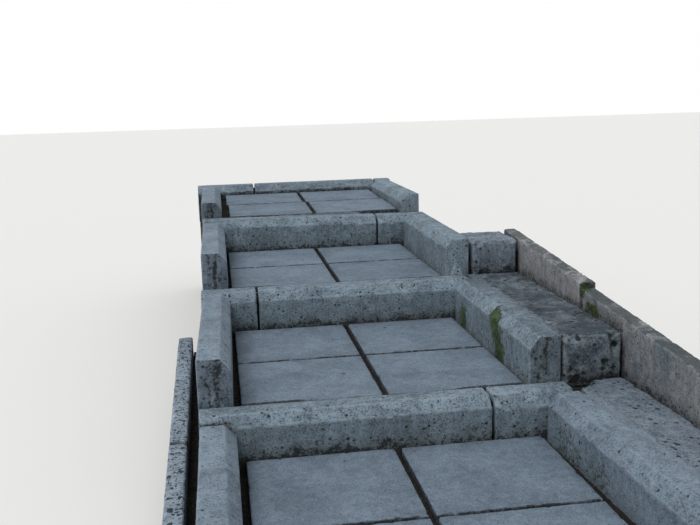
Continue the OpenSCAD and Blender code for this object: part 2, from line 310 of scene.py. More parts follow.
def link_mesh(name, points, fans, quads, material):
    """Blender object of a mesh given as whole arrays of points, triangles and quads."""
    mesh = bpy.data.meshes.new(name)
    mesh.vertices.add(len(points))
    mesh.vertices.foreach_set("co", points.ravel())
    mesh.loops.add(fans.size + quads.size)
    mesh.loops.foreach_set("vertex_index", np.concatenate([fans.ravel(), quads.ravel()]))
    mesh.polygons.add(len(fans) + len(quads))
    starts = np.concatenate([np.arange(len(fans)) * 3, fans.size + np.arange(len(quads)) * 4])
    mesh.polygons.foreach_set("loop_start", starts)
    mesh.polygons.foreach_set("use_smooth", np.ones(len(starts), bool))
    mesh.update(calc_edges=True)
    mesh.materials.append(material)
    piece = bpy.data.objects.new(name, mesh)
    bpy.context.scene.collection.objects.link(piece)
    return piece


def make_piece(name, shells, material, nodes=()):
    """One piece of the shells, with their marks, riding on the frame in place of the nodes."""
    start, points, fans, quads = 0, [], [], []
    for shell in shells:
        fan, quad = shell.faces()
        points.append(shell.points)
        fans.append(fan + start)
        quads.append(quad + start)
        start += len(shell.points)
    piece = link_mesh(name, *(np.concatenate(part) for part in (points, fans, quads)), material)
    for mark in MARKS:
        values = np.clip(np.concatenate([shell.marks[mark] for shell in shells]), 0, 1)
        piece.data.attributes.new(mark, "FLOAT", "POINT").data.foreach_set("value", values)
    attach(piece, "root")
    if nodes:
        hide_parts(*nodes)


# Weathering

# Size of the slow waves, of the grain and of the layers on worn stone, and how far the layers are drawn out
WAVE_SIZE = 0.280
GRAIN_SIZE = 0.030
LAYER_SIZE = 0.040
LAYER_STRETCH = [1, 0.16, 1]
# Width of the worn stripe along an arris
STRIPE_WIDTH = 0.007
# Half the height over which the ground's ragged line fades
GROUND_FADE = 0.03
# How far from an outer face of the flight a point still counts as lying on it
FACE_MARGIN = 0.02


def wear_down(shell, seed, wave, grain, arris, arris_width, pits=None, layers=0.0, ends=0.0):
    """Moves the points inwards by the sum of slow waves, fine grain, a ragged loss that falls off from the
    arrises as exp(-(distance / arris_width)^2), a loss on both ends, round pits, and layers washed out
    along the length of what faces up. Each value is its depth, and pits gives spacing, radius, share and
    depth. The underside stays. Gives the normals from before."""
    normal, p = shell.normals(), shell.points
    loss = wave * (0.5 + 0.5 * noise(p, WAVE_SIZE, seed))
    loss += grain * (0.6 + rough_noise(p, GRAIN_SIZE, seed + 10))
    ragged = 0.6 + 0.7 * noise(p, 0.055, seed + 20) + 0.5 * noise(p, 0.016, seed + 21)
    loss += arris * np.clip(ragged, 0, 2) * np.exp(-(shell.edge / arris_width) ** 2)
    if layers:
        layer = 0.5 + 0.5 * rough_noise(p * LAYER_STRETCH, LAYER_SIZE, seed + 30)
        loss += layers * layer * smooth(0.3, 0.8, normal[:, 2])
    if pits:
        spacing, radius, share, depth = pits
        hollow = hollows(p + 0.004 * noise(p, 0.015, seed + 41)[:, None], spacing, radius, share, seed + 40)
        loss += depth * hollow
        shell.mark("grime_and_shade", 0.9 * hollow)
    loss += ends * shell.at_end * (0.7 + 0.6 * noise(p, 0.050, seed + 50))
    loss *= 1 - smooth(0.5, 0.9, -normal[:, 2])
    shell.points = p - normal * np.maximum(loss, 0)[:, None]
    shell.mark("wear", np.exp(-(shell.edge / STRIPE_WIDTH) ** 2) * smooth(-0.5, 0.4, noise(p, 0.05, 77)))
    return normal


def scoop(shell, normal, centre, radius, seed, mark="wear", strength=0.8):
    """Takes a hollow out of the stone: pushes the points inside a slightly uneven ball, whose middle is
    outside the stone, in to the ball's surface, and marks them, as worn unless another mark is given."""
    away = shell.points - centre
    reach = np.linalg.norm(away, axis=1)
    near = np.flatnonzero((reach < radius * 1.15) & (np.sum(away * normal, axis=1) < 0))
    wall = radius * (1 + 0.10 * noise(shell.points[near], 0.012, seed))
    push = np.maximum(wall - reach[near], 0)
    shell.points[near] += unit(away[near]) * push[:, None]
    shell.marks[mark][near] = np.maximum(shell.marks[mark][near], strength * smooth(0, 0.0015, push))


def chip_arrises(shell, normal, seed, count, sizes=(0.010, 0.030), depths=(0.0015, 0.005)):
    """Takes scoops of random size and depth off the upper arrises, and nothing past the stone's own box."""
    rng = np.random.default_rng(seed)
    whole = shell.points.copy()
    ready = np.flatnonzero((shell.edge < 0.002) & (normal[:, 2] > -0.3))
    for k in rng.choice(ready, size=count):
        radius, depth = rng.uniform(*sizes), rng.uniform(*depths)
        scoop(shell, normal, whole[k] + normal[k] * (radius - depth), radius, int(k) % 97)
    shell.points = np.clip(shell.points, whole.min(axis=0), whole.max(axis=0))


def splash_stain(shell, normal, level, height=0.036, strength=1.0):
    """Dirt on upright faces, full at this level and falling off above it as exp(-distance / height), with a
    ragged upper limit."""
    p = shell.points
    above = p[:, 2] - level + 0.025 * noise(p, 0.070, 301) + 0.012 * noise(p, 0.020, 302)
    upright = smooth(0.85, 0.4, np.abs(normal[:, 2]))
    shell.mark("grime_and_shade", strength * np.exp(-np.maximum(above, 0) / height) * upright)


def earth_stain(shell, normal):
    """Earth on the outer sides, up to the ragged line of the surrounding ground, and on the side to the
    terrace."""
    p = shell.points
    ragged = 0.025 * noise(p, 0.120, 311) + 0.012 * noise(p, 0.030, 312)
    stain = np.zeros(len(p))
    for side, face, ground in ((-1, LEFT_FACE, GROUND_LEFT), (1, RIGHT_FACE, GROUND_RIGHT)):
        buried = smooth(-GROUND_FADE, GROUND_FADE, np.interp(p[:, 1], GROUND_Y, ground) - p[:, 2] + ragged)
        outer = smooth(0.3, 0.7, side * normal[:, 0]) * (side * (p[:, 0] - face) > -FACE_MARGIN)
        stain = np.maximum(stain, buried * outer)
    back = smooth(0.3, 0.7, normal[:, 1]) * smooth(0.010, 0.040, TERRACE - p[:, 2] + 0.4 * ragged)
    shell.mark("earth", np.maximum(stain, back * (p[:, 1] > BACK_FACE - FACE_MARGIN)))


def moss_patch(shell, places, seed, strength=1.0):
    """Moss round some places, each given by x, y, z and a reach, with an edge broken up by noise."""
    p = shell.points
    for x, y, z, reach in places:
        away = np.linalg.norm(p - [x, y, z], axis=1) / reach
        shell.mark("moss", strength * smooth(1.15, 0.35, away + 0.45 * rough_noise(p, 0.030, seed)))


# Materials

# Faint gloss of open, unpolished stone
STONE_GLOSS = 0.25


def hex_linear(code):
    """sRGB hex to linear red, green, blue and alpha."""
    c = np.array([int(code[k:k + 2], 16) / 255.0 for k in (1, 3, 5)])
    return (*np.where(c <= 0.04045, c / 12.92, ((c + 0.055) / 1.055) ** 2.4), 1.0)


def add(tree, kind, inputs=None, **settings):
    """Adds a node. Settings are its own properties, inputs its sockets: a value, or a socket to link."""
    node = tree.nodes.new(kind)
    for key, value in settings.items():
        setattr(node, key, value)
    for key, value in (inputs or {}).items():
        if isinstance(value, bpy.types.NodeSocket):
            tree.links.new(value, node.inputs[key])
        else:
            node.inputs[key].default_value = value
    return node


def new_material(name):
    """New material with its Principled shader, already linked to the output, at the gloss of stone."""
    material = bpy.data.materials.new(name)
    material.use_nodes = True
    tree = material.node_tree
    shader = tree.nodes["Principled BSDF"]
    shader.inputs["Specular IOR Level"].default_value = STONE_GLOSS
    return material, tree, shader


def blend(tree, factor, below, above):
    """Colour that goes from below to above with the factor. Each colour is a socket or an sRGB hex."""
    ends = [end if isinstance(end, bpy.types.NodeSocket) else hex_linear(end) for end in (below, above)]
    return add(tree, "ShaderNodeMix", {0: factor, 6: ends[0], 7: ends[1]}, data_type="RGBA").outputs[2]


def ramp(tree, value, low, high, top=1.0, bottom=0.0):
    """Goes evenly from bottom where the value is low to top where it is high, and stays level past both."""
    limits = {"From Min": low, "From Max": high, "To Min": bottom, "To Max": top}
    return add(tree, "ShaderNodeMapRange", {"Value": value, **limits}).outputs[0]


def reckon(tree, operation, *values):
    """One step of arithmetic on sockets and numbers."""
    return add(tree, "ShaderNodeMath", dict(enumerate(values)), operation=operation).outputs[0]


def finish_material(tree, shader, colour, roughness, height, depth):
    """Links the colour, the roughness and a relief of this height, whose full depth is in metres."""
    bump = add(tree, "ShaderNodeBump", {"Height": height, "Distance": depth, "Strength": 1.0})
    for socket, name in ((colour, "Base Color"), (roughness, "Roughness"), (bump.outputs[0], "Normal")):
        tree.links.new(socket, shader.inputs[name])


def cloud_of(tree, place, size, detail=3.0, roughness=0.6, distortion=0.0):
    """Noise whose largest clouds are about this size in metres."""
    return add(tree, "ShaderNodeTexNoise", {"Vector": place, "Scale": 1.0 / size, "Detail": detail,
                                            "Roughness": roughness, "Distortion": distortion}).outputs["Fac"]


# Sizes of the patterns in weathered concrete, in metres
PASTE_CLOUD = 0.200
PASTE_PATCH = 0.030
FILM_CLOUD = 0.090
DIRT_BLOTCH = 0.022
DIRT_CLUMP = 0.015
FLECK_SIZE = 0.0072
LICHEN_PATCH = 0.020
MOSS_TUFT = 0.011
# Streaks of dirt to the metre: about 26 mm wide and 170 mm long
STREAKS_PER_METRE = (38.0, 38.0, 6.0)

# Tones of what lies on every concrete here
DARK_GRAIN = "#2f3336"
PALE_GRAIN = "#a9aaa6"
FLECK_TONE = "#23282b"
LICHEN_TONE = "#161b20"
CLUMP_TONE = "#151719"
EARTH_TONE = "#4a3d30"
MOSS_SHADE = "#18220e"
MOSS_LIGHT = "#455e24"
MOSS_DAMP = "#30352c"
PORE_TONE = "#17191a"


def concrete(name, pale, dark, stain, film, speckle, pore_gap, pore_size, pore_share, grain, streaks,
             film_share, bump_mm, lichen=0.0, film_from=0.44):
    """Weathered concrete.
    Clouds of 200 mm and patches of 30 mm vary the paste from dark to pale, and the mark of that name makes
    it paler. Dark speckles of 4 mm to 8 mm are lichen and open grit, single grains of sand show lighter and
    darker, and pores are dark pits. Dirt runs down upright faces in streaks and gathers on them in blotches,
    and a dark film of algae lies on what faces up, where its cloud is above film_from. The marks on the mesh
    add splash stain, dirt with painted shade, worn arrises, earth and moss, each with a broken edge.
    Worn arrises and the damp film are a little smoother than the open paste, and moss and pores give no
    gloss at all.
    pale, dark, stain and film are sRGB hex. pore_gap, pore_size and grain are in metres, and bump_mm, the
    height of the relief, in millimetres. The rest are strengths and shares from 0 to 1."""
    material, tree, shader = new_material(name)
    place = add(tree, "ShaderNodeTexCoord").outputs["Object"]
    normal = add(tree, "ShaderNodeNewGeometry").outputs["Normal"]
    facing = add(tree, "ShaderNodeSeparateXYZ", {0: normal}).outputs["Z"]
    marks = {mark: add(tree, "ShaderNodeAttribute", attribute_name=mark).outputs["Fac"] for mark in MARKS}
    patch = cloud_of(tree, place, PASTE_PATCH, 5.0, 0.68)
    sand = cloud_of(tree, place, grain, 2.0, 0.7)

    # Paste between its dark and pale tone, shifted for each stone
    mixed = reckon(tree, "ADD", cloud_of(tree, place, PASTE_CLOUD), patch)
    mixed = reckon(tree, "MULTIPLY_ADD", marks["pale"], 0.30, mixed)
    colour = blend(tree, ramp(tree, mixed, 0.92, 1.40), dark, pale)

    # Grains of sand: a few dark, a few pale
    grains = add(tree, "ShaderNodeTexVoronoi", {"Vector": place, "Scale": 1.0 / (1.6 * grain)})
    pick = add(tree, "ShaderNodeSeparateColor", {0: grains.outputs["Color"]})
    colour = blend(tree, ramp(tree, pick.outputs[0], 0.20, 0.12, 0.40), colour, DARK_GRAIN)
    colour = blend(tree, ramp(tree, pick.outputs[1], 0.88, 0.96, 0.30), colour, PALE_GRAIN)

    # Algae film on what faces up, less of it where the paste is pale
    film_cloud = cloud_of(tree, place, FILM_CLOUD, 6.0, 0.72, 0.6)
    spread = reckon(tree, "MULTIPLY_ADD", marks["pale"], -0.12, film_cloud)
    film_here = ramp(tree, spread, film_from, film_from + 0.16, film_share)
    film_here = reckon(tree, "MULTIPLY", film_here, ramp(tree, facing, 0.2, 0.8, 1.0, 0.20))
    colour = blend(tree, film_here, colour, film)

    # Streaks and blotches of dirt on the upright faces
    upright = ramp(tree, reckon(tree, "ABSOLUTE", facing), 0.6, 0.2, streaks)
    squeezed = add(tree, "ShaderNodeMapping", {"Vector": place, "Scale": STREAKS_PER_METRE}).outputs[0]
    streak = ramp(tree, cloud_of(tree, squeezed, 1.0, 5.0, 0.7, 0.5), 0.40, 0.68)
    blotch = ramp(tree, cloud_of(tree, place, DIRT_BLOTCH, 4.0, 0.62, 0.4), 0.52, 0.64, 0.9)
    dirt = reckon(tree, "MULTIPLY", reckon(tree, "MAXIMUM", streak, blotch), upright)
    colour = blend(tree, dirt, colour, stain)

    # Dark speckles, thicker where the paste is dark
    fleck = reckon(tree, "MULTIPLY_ADD", patch, 0.25, cloud_of(tree, place, FLECK_SIZE, 2.5, 0.6))
    colour = blend(tree, ramp(tree, fleck, 0.575, 0.50, speckle), colour, FLECK_TONE)

    # Black lichen in patches of 8 mm to 20 mm on what faces up
    patches = ramp(tree, cloud_of(tree, place, LICHEN_PATCH, 3.0, 0.62, 0.3), 0.565, 0.60, lichen)
    patches = reckon(tree, "MULTIPLY", patches, ramp(tree, facing, 0.3, 0.8))
    colour = blend(tree, patches, colour, LICHEN_TONE)

    # Marks of the mesh: dirt and painted shade as a soft stain with black clumps, worn arrises and earth with
    # broken edges
    clump = cloud_of(tree, place, DIRT_CLUMP, 4.0, 0.72)
    loose = reckon(tree, "MULTIPLY_ADD", clump, 1.1, -0.55)
    colour = blend(tree, reckon(tree, "MULTIPLY", marks["grime_and_shade"], 0.55), colour, stain)
    clumps = reckon(tree, "MULTIPLY_ADD", marks["grime_and_shade"], 0.27, clump)
    colour = blend(tree, ramp(tree, clumps, 0.64, 0.77, 0.85), colour, CLUMP_TONE)
    for mark, tint, strength in (("wear", pale, 0.45), ("earth", EARTH_TONE, 0.85)):
        here = ramp(tree, reckon(tree, "ADD", marks[mark], loose), 0.25, 0.75, strength)
        colour = blend(tree, here, colour, tint)

    # Moss: tufts of 4 mm to 10 mm, dense in the middle of a patch and single at its edge, on a damp stain
    tuft = cloud_of(tree, place, MOSS_TUFT, 4.0, 0.74)
    moss = ramp(tree, reckon(tree, "MULTIPLY_ADD", marks["moss"], 0.27, tuft), 0.62, 0.74)
    tone = reckon(tree, "ADD", cloud_of(tree, place, 0.012, 4.0, 0.75), cloud_of(tree, place, 0.045, 2.0))
    green = blend(tree, ramp(tree, tone, 0.86, 1.20), MOSS_SHADE, MOSS_LIGHT)
    colour = blend(tree, reckon(tree, "MULTIPLY", marks["moss"], 0.45), colour, MOSS_DAMP)
    colour = blend(tree, reckon(tree, "MULTIPLY", moss, 0.95), colour, green)

    # Pores: one in each cell of the pattern, of random size, or none
    cells = add(tree, "ShaderNodeTexVoronoi", {"Vector": place, "Scale": 1.0 / pore_gap})
    pick = add(tree, "ShaderNodeSeparateColor", {0: cells.outputs["Color"]})
    size = pore_size / pore_gap
    some = ramp(tree, pick.outputs[0], 1.0 - pore_share, 1.0, size)
    reach = reckon(tree, "MULTIPLY_ADD", sand, 0.8 * size, cells.outputs["Distance"])
    pore = ramp(tree, reckon(tree, "SUBTRACT", some, reach), -0.4 * size, -0.1 * size)
    colour = blend(tree, reckon(tree, "MULTIPLY", pore, 0.85), colour, PORE_TONE)

    # Roughness: the paste varies by its patches, worn arrises and film are smoother, moss and pores are dull
    dull = ramp(tree, patch, 0.35, 0.65, 0.97, 0.89)
    dull = reckon(tree, "MULTIPLY_ADD", marks["wear"], -0.12, dull)
    dull = reckon(tree, "MULTIPLY_ADD", film_here, -0.08, dull)
    dull = reckon(tree, "MAXIMUM", dull, reckon(tree, "MAXIMUM", moss, pore))

    # Relief: patches, sand, moss and pores
    relief = reckon(tree, "MULTIPLY_ADD", patch, 1.6, sand)
    relief = reckon(tree, "MULTIPLY_ADD", pore, -2.5, relief)
    relief = reckon(tree, "MULTIPLY_ADD", reckon(tree, "MULTIPLY", moss, tuft), 4.0, relief)
    finish_material(tree, shader, colour, dull, relief, 0.001 * bump_mm)
    return material


# Size of the crumbs of earth, and bits of grit to the metre, each about 5 mm
CRUMB_SIZE = 0.011
BITS_PER_METRE = 210.0


def joint_earth(name, pale, dark, grit):
    """Loose earth or sand in the joints: crumbs of 3 mm to 12 mm, dark and a little smoother where damp, with
    bits of grit. The colours are sRGB hex."""
    material, tree, shader = new_material(name)
    place = add(tree, "ShaderNodeTexCoord").outputs["Object"]
    crumb = cloud_of(tree, place, CRUMB_SIZE, 6.0, 0.75)
    both = reckon(tree, "ADD", crumb, cloud_of(tree, place, 0.110, 2.0))
    colour = blend(tree, ramp(tree, both, 0.75, 1.30), dark, pale)
    bits = add(tree, "ShaderNodeTexVoronoi", {"Vector": place, "Scale": BITS_PER_METRE}).outputs["Color"]
    pick = add(tree, "ShaderNodeSeparateColor", {0: bits}).outputs[0]
    colour = blend(tree, ramp(tree, pick, 0.90, 0.96, 0.5), colour, grit)
    finish_material(tree, shader, colour, ramp(tree, both, 0.75, 1.30, 1.0, 0.85), crumb, 0.006)
    return material


def grit_stone(name, pale, dark):
    """Bits of grit and root: each has its own tone between dark and pale, with a faint cloud on it, and the
    paler ones are smoother."""
    material, tree, shader = new_material(name)
    tone = add(tree, "ShaderNodeAttribute", attribute_name="tone").outputs["Fac"]
    place = add(tree, "ShaderNodeTexCoord").outputs["Object"]
    cloud = cloud_of(tree, place, 0.0025, 2.0)
    colour = blend(tree, reckon(tree, "MULTIPLY", tone, cloud), dark, pale)
    finish_material(tree, shader, colour, ramp(tree, tone, 0.0, 1.0, 0.75, 0.95), cloud, 0.001)
    return material


# The concrete tones below are darker and bluer than the bare stone: partly painted shade of blue sky light
# Vibrated kerb concrete: grey with a painted blue sky shade, thick with dark speckles, with black dirt on its
# faces
KERB = concrete("vibrated_kerb_concrete", pale="#8698a5", dark="#5f6e7a", stain="#44463f", film="#40474c",
                speckle=0.62, pore_gap=0.020, pore_size=0.0070, pore_share=0.55, grain=0.0026,
                streaks=0.34, film_share=0.40, bump_mm=1.0)
# The cleaner of the kerb stones: smoother, with soft speckles
CLEAN_KERB = concrete("clean_kerb_concrete", pale="#80909f", dark="#5f6e7c", stain="#43474a", film="#48525b",
                      speckle=0.36, pore_gap=0.026, pore_size=0.0068, pore_share=0.50, grain=0.0024,
                      streaks=0.14, film_share=0.34, bump_mm=0.9)
# Pressed slab concrete: a smoother face, the bluest with painted sky shade, with faint clouds and few pits
SLAB = concrete("pressed_slab_concrete", pale="#738393", dark="#5a6877", stain="#2f3336", film="#4b545d",
                speckle=0.16, pore_gap=0.070, pore_size=0.0090, pore_share=0.35, grain=0.0020,
                streaks=0.55, film_share=0.32, bump_mm=0.4)
# Concrete cast in place: coarse, washed out, dark with algae, with pale blotches
BLOCK = concrete("washed_out_block_concrete", pale="#7e8a92", dark="#4a5660", stain="#2f302d", film="#29333b",
                 speckle=0.56, pore_gap=0.024, pore_size=0.0110, pore_share=0.60, grain=0.0036,
                 streaks=0.22, film_share=0.84, bump_mm=2.0, film_from=0.39)
# The same on the first and the third block, which are cleaner and less worn
PALE_BLOCK = concrete("pale_block_concrete", pale="#7f8c9a", dark="#5d6975", stain="#2b2c29", film="#3f4850",
                      speckle=0.48, pore_gap=0.022, pore_size=0.0095, pore_share=0.60, grain=0.0030,
                      streaks=0.40, film_share=0.42, bump_mm=1.5)
# Edging concrete: thin pale stones with black speckles of lichen on top
EDGING = concrete("speckled_edging_concrete", pale="#9cabb8", dark="#7a8998", stain="#3f3e38", film="#454b4e",
                  speckle=0.66, pore_gap=0.015, pore_size=0.0065, pore_share=0.60, grain=0.0028,
                  streaks=0.34, film_share=0.20, bump_mm=1.0, lichen=0.88)
# The same on the outer kerb: warmer, with a dark film on top and dirt that has run down
OUTER = concrete("streaked_edging_concrete", pale="#a8a9ac", dark="#687582", stain="#45484a", film="#2c3534",
                 speckle=0.36, pore_gap=0.024, pore_size=0.0065, pore_share=0.32, grain=0.0028,
                 streaks=0.44, film_share=0.80, bump_mm=1.0, film_from=0.25)
# Lean concrete cast against earth: brown, with stones of 9 mm
BED = concrete("lean_bed_concrete", pale="#857e70", dark="#5a5447", stain="#3a3328", film="#4a463b",
               speckle=0.40, pore_gap=0.030, pore_size=0.0120, pore_share=0.55, grain=0.0090,
               streaks=0.30, film_share=0.30, bump_mm=2.5)
# Damp garden earth, whose near-black tone is partly painted shade of the narrow joints
SOIL_AND_SHADE = joint_earth("joint_earth", pale="#282622", dark="#0b0b0b", grit="#4a4740")
# Sand and cement dust washed into the wide joints, of nearly the tone of the stones; its darker tone is
# partly painted shade of the low joints behind the risers
SAND_AND_SHADE = joint_earth("washed_in_sand", pale="#727f8b", dark="#464f58", grit="#8b9296")
# The same sand as a paler, lit copy, beside the first right kerb
LIT_SAND = joint_earth("lit_washed_in_sand", pale="#8492a0", dark="#5b6875", grit="#969da2")
# Broken limestone grit, brown with earth
GRIT = grit_stone("joint_grit", pale="#625d52", dark="#191613")


# Levels and outer faces, from the boxes of the nodes


def node_box(node):
    """Lowest and highest corner of a node, as arrays."""
    low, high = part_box(node)
    return np.array(low), np.array(high)


SLAB_ROWS = [[f"slabs_{i + 1}_{row}" for row in ("front", "back")] for i in range(LANDINGS)]
# Boxes of the stones that beds and strips of earth lie between
LEFT_KERBS = [node_box(f"left_kerb_{i + 1}") for i in range(LANDINGS)]
RIGHT_KERBS = [node_box(f"right_kerb_{i + 1}") for i in range(LANDINGS)]
BLOCK_BOXES = [node_box(f"shoulder_block_{i + 1}") for i in range(BLOCKS)]
OUTER_X = node_box("outer_kerb_1")[0][0]
# Depths and levels of the landings
FRONT_OF_RISER = [node_box(f"riser_{i + 1}_left")[0][1] for i in range(LANDINGS)]
BACK_OF_RISER = [node_box(f"riser_{i + 1}_left")[1][1] for i in range(LANDINGS)]
TERRACE_LOW, TERRACE_HIGH = node_box("terrace_kerb_middle")
FRONT_OF_RISER.append(TERRACE_LOW[1])
TOP_TILT = np.arctan(TOP_FALL / (FRONT_OF_RISER[4] - BACK_OF_RISER[3]))
TILTS = [0.0, 0.0, 0.0, TOP_TILT]
SLAB_TOPS = [node_box(rows[0])[0][2] + SLAB_THICKNESS * np.cos(t) for rows, t in zip(SLAB_ROWS, TILTS)]
TERRACE = TERRACE_HIGH[2]
BACK_FACE = TERRACE_HIGH[1]
LEFT_FACE = node_box("riser_2_left")[0][0]
RIGHT_FACE = node_box("riser_2_right")[1][0]


def laid_box(node, turn=0.0, slope=0.0):
    """Lowest corner, edge directions and edge lengths of a box node that is turned about the upright, or that
    slopes down to the right. A turned rectangle of a by b fills a cos t + b sin t by b cos t + a sin t, which
    gives a and b again."""
    low, high = node_box(node)
    first, second, angle = (0, 2, -slope) if slope else (0, 1, turn)
    c, s = np.cos(angle), np.sin(angle)
    axes, size = np.eye(3), high - low
    axes[first, first], axes[first, second] = c, s
    axes[second, first], axes[second, second] = -s, c
    a, b = size[first], size[second]
    size[first], size[second] = (a * c - b * abs(s)) / (c * c - s * s), (b * c - a * abs(s)) / (c * c - s * s)
    return (low + high) / 2 - size @ axes / 2, axes, size


def name_seed(name):
    """Seed of a piece, from the letters of its name."""
    return sum(ord(letter) * (k + 1) for k, letter in enumerate(name)) % 9973


# Kerb stones

# Distance of the points along the length, and on the underside, the back, the top, the chamfer and the face
KERB_STEP = 0.0075
KERB_SIDE_STEPS = [0.060, 0.014, 0.009, 0.007, 0.009]
# Rings that close an end: one that is seen from near by, one that is open, and one in a joint
NEAR_RINGS = 22
OPEN_RINGS = 9
JOINT_RINGS = 3
KERB_WEAR = dict(wave=0.0009, grain=0.0004, arris=0.0012, arris_width=0.007, ends=END_WEAR)


def kerb_section(width, height, chamfer):
    """Section of a kerb stone: the exposed face at 0, then anticlockwise the underside, the back, the top and
    the chamfer, which takes this height off the face."""
    corners = [(0, 0), (width, 0), (width, height), (CHAMFER_WIDTH, height), (0, height - chamfer)]
    radii = [END_ARRIS, END_ARRIS, KERB_ARRIS, KERB_ARRIS, KERB_ARRIS]
    return outline(corners, radii, KERB_SIDE_STEPS)


def add_kerb(node, face, level, pale=0.5, ends=(OPEN_RINGS, OPEN_RINGS), chips=9, splash=1.0, extra=None,
             turn=0.0, slope=0.0, chamfer=CHAMFER_HEIGHT, material=KERB):
    """Kerb stone in the box of its node: its section is carried along its length. The exposed face looks to
    the front, the left or the right. level is that of the paving beside it, splash the strength of the
    stain there, and extra adds what only this stone shows."""
    corner, (rightward, onward, upright), size = laid_box(node, turn, slope)
    if face == "front":
        section, length = kerb_section(size[1], size[2], chamfer), size[0]
        across, onward = onward, rightward
    else:
        section, length = kerb_section(size[0], size[2], chamfer), size[1]
        across = rightward if face == "left" else -rightward
        corner = corner if face == "left" else corner + rightward * size[0]
    shell = Shell(section, length, END_ARRIS, KERB_STEP, ends).place(corner, across, upright, onward)
    seed = name_seed(node)
    normal = wear_down(shell, seed, **KERB_WEAR)
    chip_arrises(shell, normal, seed, chips)
    splash_stain(shell, normal, level, strength=splash)
    earth_stain(shell, normal)
    shell.mark("pale", pale)
    if extra:
        extra(shell, normal)
    make_piece("worn_" + node, [shell], material, [node])


# Moss on the inner face of the second right kerb and, faint, of the first: x, y, z and reach of each patch
DAMP_MOSS = [(0.424, -0.625, 0.450, 0.055), (0.424, -0.665, 0.415, 0.070), (0.424, -0.700, 0.365, 0.078),
             (0.424, -0.725, 0.318, 0.085), (0.427, -0.195, 0.315, 0.075)]
LOW_MOSS = [(0.440, -1.36, 0.165, 0.085), (0.437, -1.45, 0.160, 0.070), (0.434, -1.62, 0.158, 0.090)]
LOW_MOSS_STRENGTH = 0.42
# Runs of dirt down the front end of the second right kerb: x, width and strength of each
DAMP_RUNS = [(0.480, 0.006, 1.8), (0.447, 0.012, 1.1), (0.480, 0.080, 0.6)]
# The same down the front end of each left kerb, with x from its middle; the widest run darkens the whole end,
# partly as painted shade
END_RUNS = [(0, 0.090, 0.70), (0, 0.014, 1.1), (-0.030, 0.008, 0.9)]


def dirt_runs(shell, normal, runs, seed):
    """Runs of dirt down a dark front end: each is a soft band, exp(-(distance from x / width)^2), that sways,
    swells and fades on its way down."""
    p = shell.points
    front = smooth(0.5, 0.8, -normal[:, 1])
    shell.marks["pale"] *= 1 - front
    shell.marks["wear"] *= 1 - 0.8 * smooth(0.0, 0.4, -normal[:, 1])
    for k, (x, width, strength) in enumerate(runs):
        sway = 0.010 * noise(p, 0.080, seed + k)
        swell = np.maximum(1 + 0.9 * noise(p, 0.045, seed + 10 + k), 0.3)
        fade = 0.5 + 0.5 * smooth(-0.5, 0.3, noise(p, 0.060, seed + 20 + k))
        shell.mark("grime_and_shade", strength * np.exp(-((p[:, 0] - x - sway) / (width * swell)) ** 2) * fade * front)


def damp_side(shell, normal):
    """Moss on the inner face of the second right kerb, where water runs down, a darker top, and dirt on its
    front end."""
    moss_patch(shell, DAMP_MOSS, 61)
    shell.marks["pale"] *= 1 - smooth(0.7, 0.95, normal[:, 2])
    dirt_runs(shell, normal, DAMP_RUNS, 610)


def dirty_shaded_end(shell, normal):
    """Front end of a left kerb: dark all over, partly from dirt and partly as painted shade, and darkest down
    its middle and beside it.
    """
    middle = (shell.points[:, 0].min() + shell.points[:, 0].max()) / 2
    dirt_runs(shell, normal, [(middle + x, width, strength) for x, width, strength in END_RUNS], 650)


def green_side_with_shade(shell, normal):
    """Faint moss low on the inner face of the first right kerb, and a band of painted shade, with some dirt,
    along the face below the chamfer."""
    moss_patch(shell, LOW_MOSS, 62, LOW_MOSS_STRENGTH)
    p = shell.points
    below = p[:, 2].max() - CHAMFER_HEIGHT - p[:, 2]
    # Painted shade under the chamfer's arris, with some dirt, in a band along the face
    shade_band = np.exp(-(below / 0.022) ** 2) * smooth(-0.004, 0.002, below) * smooth(0.5, 0.8, -normal[:, 0])
    shell.mark("grime_and_shade", (0.35 + 0.30 * noise(p, 0.120, 67)) * shade_band)


def dirty_shaded_notch(shell, normal):
    """Dark line on the chamfer of the second riser, where the back end of the first left kerb meets it: dirt
    and the painted shade of the notch between them.
    """
    p = shell.points
    kerb_high = LEFT_KERBS[0][1]
    above = p[:, 2] - kerb_high[2] + 0.004 + 0.005 * noise(p, 0.020, 68)
    along = smooth(kerb_high[0], kerb_high[0] - CHAMFER_WIDTH, p[:, 0])
    # Dirt and painted shade of the notch where the kerb meets the chamfer
    shell.mark("grime_and_shade", 1.6 * smooth(0.006, -0.001, above) * along * smooth(0.2, 0.5, -normal[:, 1]))


def add_landing_kerbs(i):
    """The riser of landing i, counted from 0 at the foot, and its two side kerbs."""
    below = SLAB_TOPS[i - 1] if i else 0.0
    fall = np.arctan(RISER_FALLS[i] / (RIGHT_FACE - LEFT_FACE))
    second = i == 1
    add_kerb(f"riser_{i + 1}_left", "front", below, 0.50, (OPEN_RINGS, JOINT_RINGS), slope=fall,
             extra=dirty_shaded_notch if second else None, chamfer=LOW_CHAMFER_HEIGHT if second else CHAMFER_HEIGHT)
    add_kerb(f"riser_{i + 1}_right", "front", below, 0.42, (JOINT_RINGS, OPEN_RINGS), slope=fall)
    add_kerb(f"left_kerb_{i + 1}", "right", SLAB_TOPS[i], 0.80, (NEAR_RINGS, OPEN_RINGS), splash=0.5,
             extra=dirty_shaded_end, turn=LEFT_TURNS[i], material=CLEAN_KERB)
    add_kerb(f"right_kerb_{i + 1}", "left", SLAB_TOPS[i], 0.65, (NEAR_RINGS, OPEN_RINGS),
             splash=0.4 if i else 0.2, extra=(green_side_with_shade, damp_side, None, None)[i], turn=RIGHT_TURNS[i],
             material=KERB if i else CLEAN_KERB)


